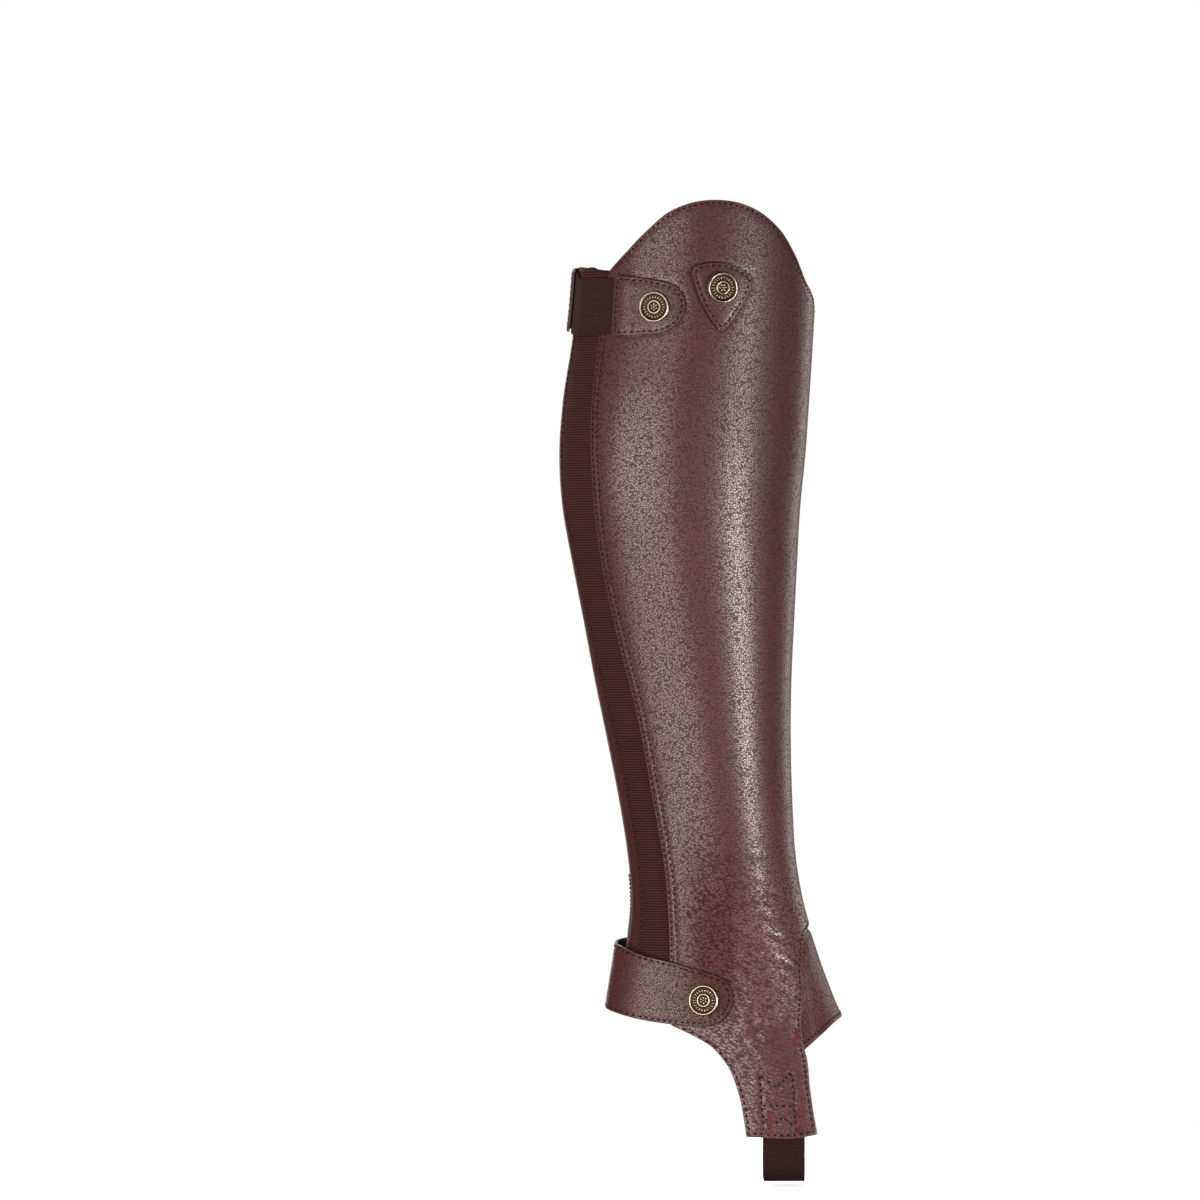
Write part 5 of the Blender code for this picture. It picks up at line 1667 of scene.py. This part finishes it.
@dataclass
class AnkleStrap:
    """The strap that stands off round the heel and snaps on the outer side.

    It stands off evenly up to inner_flat and outer_flat, and then lies down over the two falls.
    """

    stand_off: float = 5.6
    inner_flat: float = 5.0
    inner_fall: float = 10.0
    outer_flat: float = 6.0
    outer_fall: float = 34.0
    stitch_in: float = 1.7
    stitch_end: float = 14.6

    def build(self) -> None:
        """Makes the strap and its sewing."""
        edge = ankle_strap_edge()

        def height(chart: Array) -> Array:
            """Stands off round the heel and lies down to both sides."""
            u = chart[:, 0] - FORM.half_girth(chart[:, 1])
            stand = np.where(u > 0, 1 - smoothstep((u - self.inner_flat) / self.inner_fall),
                             1 - smoothstep((-u - self.outer_flat) / self.outer_fall))
            return GAP + STRAP + (self.stand_off - GAP) * stand
        around = inset(edge, self.stitch_in)
        u = around[:, 0] - FORM.half_girth(around[:, 1])
        around = np.roll(around, -int(np.argmax(u)), axis=0)
        u = around[:, 0] - FORM.half_girth(around[:, 1])
        around = around[u < self.stitch_end]
        ends = [curve([(FORM.half_girth(np.array(z)) + u, z) for z in (-257.0, -287.5)]) for u in (14.8, 12.0)]
        cloth = Cloth("ankle_strap_leather", edge, height, STRAP, spacing=1.9, lines=[around] + ends)
        lay(cloth, STRAP_LEATHER_FINISH, "ankle_strap", 14)


@dataclass
class Stirrup:
    """The elastic that runs down inside the outer tab, under the foot and up the inner one."""

    back: float = 42.2
    front: float = 63.5
    top_outer: float = -341.0
    top_inner: float = -334.0
    bend_top: float = -371.0
    bottom: float = -383.0
    columns: int = 14

    def path(self, x: float, side: Side, sunk: float) -> list[tuple[float, float, float]]:
        """Points of one face on one side, from its upper end down to the flat underside."""
        radius = self.bend_top - self.bottom
        top = self.top_outer if side is Side.OUTER else self.top_inner
        levels = np.linspace(top, self.bend_top, 18)
        chart = np.array([FORM.seen(Seen(x, z), side) for z in levels])
        straight = [(x, float(spot[1]), float(z)) for spot, z in
                    zip(FORM.place(chart, -(LEATHER + SEAM_GAP) - sunk), levels)]
        reach = radius - sunk
        middle = straight[-1][1] + side * reach
        return straight + [(x, middle - side * reach * math.cos(t), self.bend_top - reach * math.sin(t))
                           for t in np.linspace(0, math.pi / 2, 11)[1:]]

    def build(self) -> None:
        """Makes the elastic."""
        layers = []
        for sunk in (0.0, ELASTIC):
            rows = []
            for x in np.linspace(self.back, self.front, self.columns):
                outer, inner = self.path(x, Side.OUTER, sunk), self.path(x, Side.INNER, sunk)[::-1]
                span = np.linspace(outer[-1], inner[0], 26)[1:-1].tolist()
                rows.append(outer + span + inner)
            layers.append(rows)
        grid = np.array(layers)
        _, across, along, _ = grid.shape
        number = np.arange(grid.size // 3).reshape(2, across, along)
        quads = []
        for layer in (0, 1):
            n = number[layer]
            face = np.stack([n[:-1, :-1], n[1:, :-1], n[1:, 1:], n[:-1, 1:]], axis=-1).reshape(-1, 4)
            quads.append(face if layer == 0 else face[:, ::-1])
        rims = ((number[:, 0], 1), (number[:, across - 1], -1), (number[:, :, 0], -1), (number[:, :, along - 1], 1))
        for (a, b), order in rims:
            quads.append(np.stack([a[:-1], a[1:], b[1:], b[:-1]], axis=-1)[:, ::order])
        quads = np.concatenate(quads)
        triangles = np.concatenate([quads[:, [0, 1, 2]], quads[:, [0, 2, 3]]])
        length = lengths(grid[0, 0])
        chart = np.zeros(grid.shape)
        chart[..., 0] = grid[..., 0]
        chart[..., 1] = length
        obj = make_object("stirrup_elastic_band", grid.reshape(-1, 3), triangles,
                          {"chart": chart.reshape(-1, 3), "outer": np.ones(grid.size // 3)})
        settle(obj, STIRRUP_FINISH, "stirrup_elastic", "stirrup_elastic")


@dataclass
class SnapCap:
    """A snap cap: a turned disc with a bright rim, a dark ring of plain beads and a small rosette."""

    name: str
    node: str
    spot: Seen
    lift: float
    beads: int = 22
    petals: int = 6
    segments: int = 64

    # Where the beads and petals stand (distance from the middle, height) and their half sizes
    BEAD_AT, BEAD = (5.2, 1.66), (0.85, 0.36, 0.42)
    PETAL_AT, PETAL, PETAL_TURN = (1.45, 1.74), (0.85, 0.42, 0.38), 0.3
    BOSS_HEIGHT, BOSS = 1.8, (0.5, 0.5, 0.45)

    # The turned disc: radius, height and how bright it is worn
    PROFILE = ((0.0, 0.0, 0.3), (7.3, 0.0, 0.3), (7.85, 0.35, 0.6), (8.08, 0.9, 0.9), (8.1, 1.35, 1.0),
               (7.95, 1.85, 1.0), (7.7, 2.2, 1.0), (7.4, 2.35, 1.0), (7.15, 2.25, 0.7), (6.9, 1.95, 0.2),
               (6.6, 1.75, 0.1), (6.2, 1.65, 0.05), (4.2, 1.65, 0.05), (3.6, 1.7, 0.2), (3.35, 1.95, 0.8),
               (3.1, 2.0, 0.8), (2.85, 1.85, 0.3), (2.6, 1.72, 0.1), (1.2, 1.75, 0.1), (0.0, 1.78, 0.1))

    def _ball(self, at: tuple[float, float, float], size: tuple[float, float, float], turn: float
              ) -> tuple[Array, Array]:
        """A small half-sunk ball, stretched along a direction in the cap's plane."""
        around, rings = 10, 4
        points = [(0.0, 0.0, 1.0)]
        for k in range(1, rings):
            tilt = k * math.pi / rings
            points += [(math.sin(tilt) * math.cos(i * math.tau / around),
                        math.sin(tilt) * math.sin(i * math.tau / around), math.cos(tilt)) for i in range(around)]
        points.append((0.0, 0.0, -1.0))
        local = np.array(points) * size
        c, s = math.cos(turn), math.sin(turn)
        local = np.stack([local[:, 0] * c - local[:, 1] * s, local[:, 0] * s + local[:, 1] * c, local[:, 2]], axis=1)
        faces = []
        last = len(points) - 1
        for i in range(around):
            j = (i + 1) % around
            faces += [(0, 1 + i, 1 + j), (last, last - around + j, last - around + i)]
            for k in range(rings - 2):
                a, b = 1 + k * around, 1 + (k + 1) * around
                faces += [(a + i, b + i, b + j), (a + i, b + j, a + j)]
        return local + at, np.array(faces)

    def build(self) -> None:
        """Makes the cap."""
        arc, z = FORM.seen(self.spot, Side.OUTER, self.lift + 2.0)
        chart = np.array([[arc, z]])
        base, axis = FORM.place(chart, self.lift)[0], Vector(FORM.out(chart)[0])
        turn = np.array(Vector((0, 0, 1)).rotation_difference(axis).to_matrix())
        vertices, relief, triangles = [], [], []
        n = self.segments
        for radius, height, shine in self.PROFILE:
            angle = np.arange(n) * math.tau / n
            if radius:
                vertices.append(np.stack([radius * np.cos(angle), radius * np.sin(angle), 0 * angle + height], 1))
            else:
                vertices.append(np.array([[0.0, 0.0, height]]))
            relief.append(np.full(len(vertices[-1]), shine))
        starts = np.concatenate([[0], np.cumsum([len(part) for part in vertices])])
        last = len(self.PROFILE) - 1
        for k in range(last):
            a, b = starts[k], starts[k + 1]
            for i in range(n):
                j = (i + 1) % n
                if k == 0:
                    triangles.append((a, b + j, b + i))
                elif k == last - 1:
                    triangles.append((a + i, a + j, b))
                else:
                    triangles += [(a + i, a + j, b + j), (a + i, b + j, b + i)]
        count = int(starts[-1])
        balls = []
        for number, (out, high), size, first in ((self.beads, self.BEAD_AT, self.BEAD, 0.0),
                                                 (self.petals, self.PETAL_AT, self.PETAL, self.PETAL_TURN)):
            balls += [((out * math.cos(t), out * math.sin(t), high), size, t)
                      for t in np.arange(number) * math.tau / number + first]
        balls.append(((0.0, 0.0, self.BOSS_HEIGHT), self.BOSS, 0.0))
        faces = [np.array(triangles)]
        for at, size, spin in balls:
            points, ball = self._ball(at, size, spin)
            vertices.append(points)
            relief.append(np.clip((points[:, 2] - 1.6) / 0.3, 0, 1) * 0.75)
            faces.append(ball + count)
            count += len(points)
        local = np.concatenate(vertices)
        obj = make_object(self.name, local @ turn.T + base, np.concatenate(faces),
                          {"relief": np.concatenate(relief)}, 60.0)
        settle(obj, AntiqueBrass(), self.node, self.node)


WARM_LIGHT, ROSE_LIGHT = (1.0, 0.905, 0.865), (1.0, 0.945, 0.955)


@dataclass
class Studio:
    """White floor and surroundings, soft lights and the camera.

    Attributes:
        pixel: the size of a picture element at the chap, in metres.
        distance: how far away the camera stands.
        middle: the point at the middle of the picture.
        sensor: the width of the camera's sensor.
        floor_level: the floor's height.
        floor_glow, fill: how brightly the floor and the surroundings shine.
    """

    pixel: float = 0.525 * MM
    distance: float = 8.75
    middle: tuple[float, float, float] = (-0.0436, 0.0, -0.0788)
    sensor: float = 36.0
    floor_level: float = -0.386
    floor_glow: float = 0.75
    fill: float = 0.10

    # The picture's width in elements, and the highest point that a light is aimed at
    PICTURE = 1200
    HIGHEST_TARGET = 0.4

    def light(self, name: str, turn: float, level: float, size: tuple[float, float], radiance: float,
              colour: tuple[float, float, float] = (1.0, 1.0, 1.0), away: float = 1.5,
              matte: bool = False) -> None:
        """Adds a soft rectangular light that faces the upright axis of the chap.

        Args:
            name: its name.
            turn: how far round it stands from the camera, in degrees towards the toe.
            level: the height of its middle.
            size: its width and height.
            radiance: its brightness, in watts per square metre and steradian.
            colour: its colour.
            away: its distance from the chap's axis, in metres.
            matte: True if it makes no reflections.
        """
        data = bpy.data.lights.new(name, "AREA")
        data.shape, data.size, data.size_y = "RECTANGLE", size[0], size[1]
        data.color = colour
        data.energy = radiance * math.pi * size[0] * size[1]
        obj = linked(name, data)
        obj.visible_camera = False
        obj.visible_glossy = not matte
        angle = math.radians(turn)
        obj.location = (away * math.sin(angle), -away * math.cos(angle), level)
        target = Vector((0.0, 0.0, min(level, self.HIGHEST_TARGET)))
        obj.rotation_euler = (target - obj.location).to_track_quat("-Z", "Y").to_euler()

    def floor(self) -> None:
        """Adds the pale floor."""
        half = 0.8
        mesh = bpy.data.meshes.new("floor")
        z = self.floor_level
        corners = [(-half, -half, z), (half, -half, z), (half, half, z), (-half, half, z)]
        mesh.from_pydata(corners, [], [(0, 1, 2, 3)])
        floor = linked("floor", mesh)
        graph = Graph("pale_floor")
        graph.set(Base_Color=rgb(0.85, 0.85, 0.85), Roughness=0.8, Emission_Color=rgb(1.0, 1.0, 1.0),
                  Emission_Strength=self.floor_glow)
        mesh.materials.append(graph.material)
        floor.visible_diffuse = floor.visible_glossy = floor.visible_shadow = False

    def world(self) -> None:
        """White surroundings that the camera sees, and dimmer ones that light the chap."""
        world = bpy.data.worlds.new("white_studio")
        bpy.context.scene.world = world
        world.use_nodes = True
        tree = world.node_tree
        seen = tree.nodes["Background"]
        seen.inputs["Color"].default_value = rgb(1.0, 1.0, 1.0)
        seen.inputs["Strength"].default_value = 1.0
        fill = tree.nodes.new("ShaderNodeBackground")
        fill.inputs["Color"].default_value = rgb(1.0, 1.0, 1.0)
        fill.inputs["Strength"].default_value = self.fill
        path = tree.nodes.new("ShaderNodeLightPath")
        mix = tree.nodes.new("ShaderNodeMixShader")
        tree.links.new(path.outputs["Is Camera Ray"], mix.inputs[0])
        tree.links.new(fill.outputs[0], mix.inputs[1])
        tree.links.new(seen.outputs[0], mix.inputs[2])
        tree.links.new(mix.outputs[0], tree.nodes["World Output"].inputs["Surface"])

    def camera(self) -> None:
        """Adds the camera: level, from the outer side, with a long lens."""
        data = bpy.data.cameras.new("camera")
        data.sensor_width = self.sensor
        data.lens = self.sensor * self.distance / (self.PICTURE * self.pixel)
        data.clip_end = 100.0
        camera = linked("camera", data)
        camera.location = Vector(self.middle) - Vector((0.0, self.distance, 0.0))
        camera.rotation_euler = (math.radians(90.0), 0.0, 0.0)
        bpy.context.scene.camera = camera

    def build(self) -> None:
        """Makes the studio."""
        bpy.context.scene.view_settings.view_transform = "Standard"
        self.world()
        self.floor()
        self.camera()
        self.light("left_softbox", -31.0, -0.23, (1.50, 0.78), 7.1, WARM_LIGHT)
        self.light("left_fill", -70.0, 0.10, (1.0, 1.8), 3.0, matte=True)
        self.light("right_strip", 51.0, -0.45, (0.44, 0.74), 25.0, ROSE_LIGHT)
        self.light("low_front_fill", 15.0, -0.50, (0.3, 0.2), 4.0, away=0.6, matte=True)
        self.light("front_edge_softbox", 138.0, 0.1, (0.6, 1.5), 2.0, WARM_LIGHT)
        self.light("inner_softbox", 188.0, 0.0, (0.9, 1.6), 2.4, WARM_LIGHT)
        self.light("inner_fill", 190.0, 0.1, (1.4, 1.8), 2.6, matte=True)
        self.light("high_back_softbox", 205.0, 1.7, (1.2, 1.2), 4.0, WARM_LIGHT)


def main() -> None:
    """Builds the studio and every piece of the chap, and reports each."""
    logging.basicConfig(level=logging.INFO, format="%(name)s: %(message)s")
    pieces = (
        Studio(), LeatherBody(), Lining(), StretchPanel(), InstepGusset(), Zip(), TopStrap(), Badge(), AnkleStrap(),
        Stirrup(),
        SnapCap("snap_cap_on_top_strap", "snap_cap_top", Seen(-15.6, 74.0), GAP + STRAP + GAP),
        SnapCap("snap_cap_on_badge", "snap_cap_badge", Seen(20.7, 84.2), GAP + BADGE + GAP),
        SnapCap("snap_cap_on_ankle_strap", "snap_cap_ankle", Seen(10.3, -288.2), GAP + STRAP + GAP),
    )
    for piece in pieces:
        piece.build()
        LOG.info("%s built", type(piece).__name__)


if __name__ == "__main__":
    main()
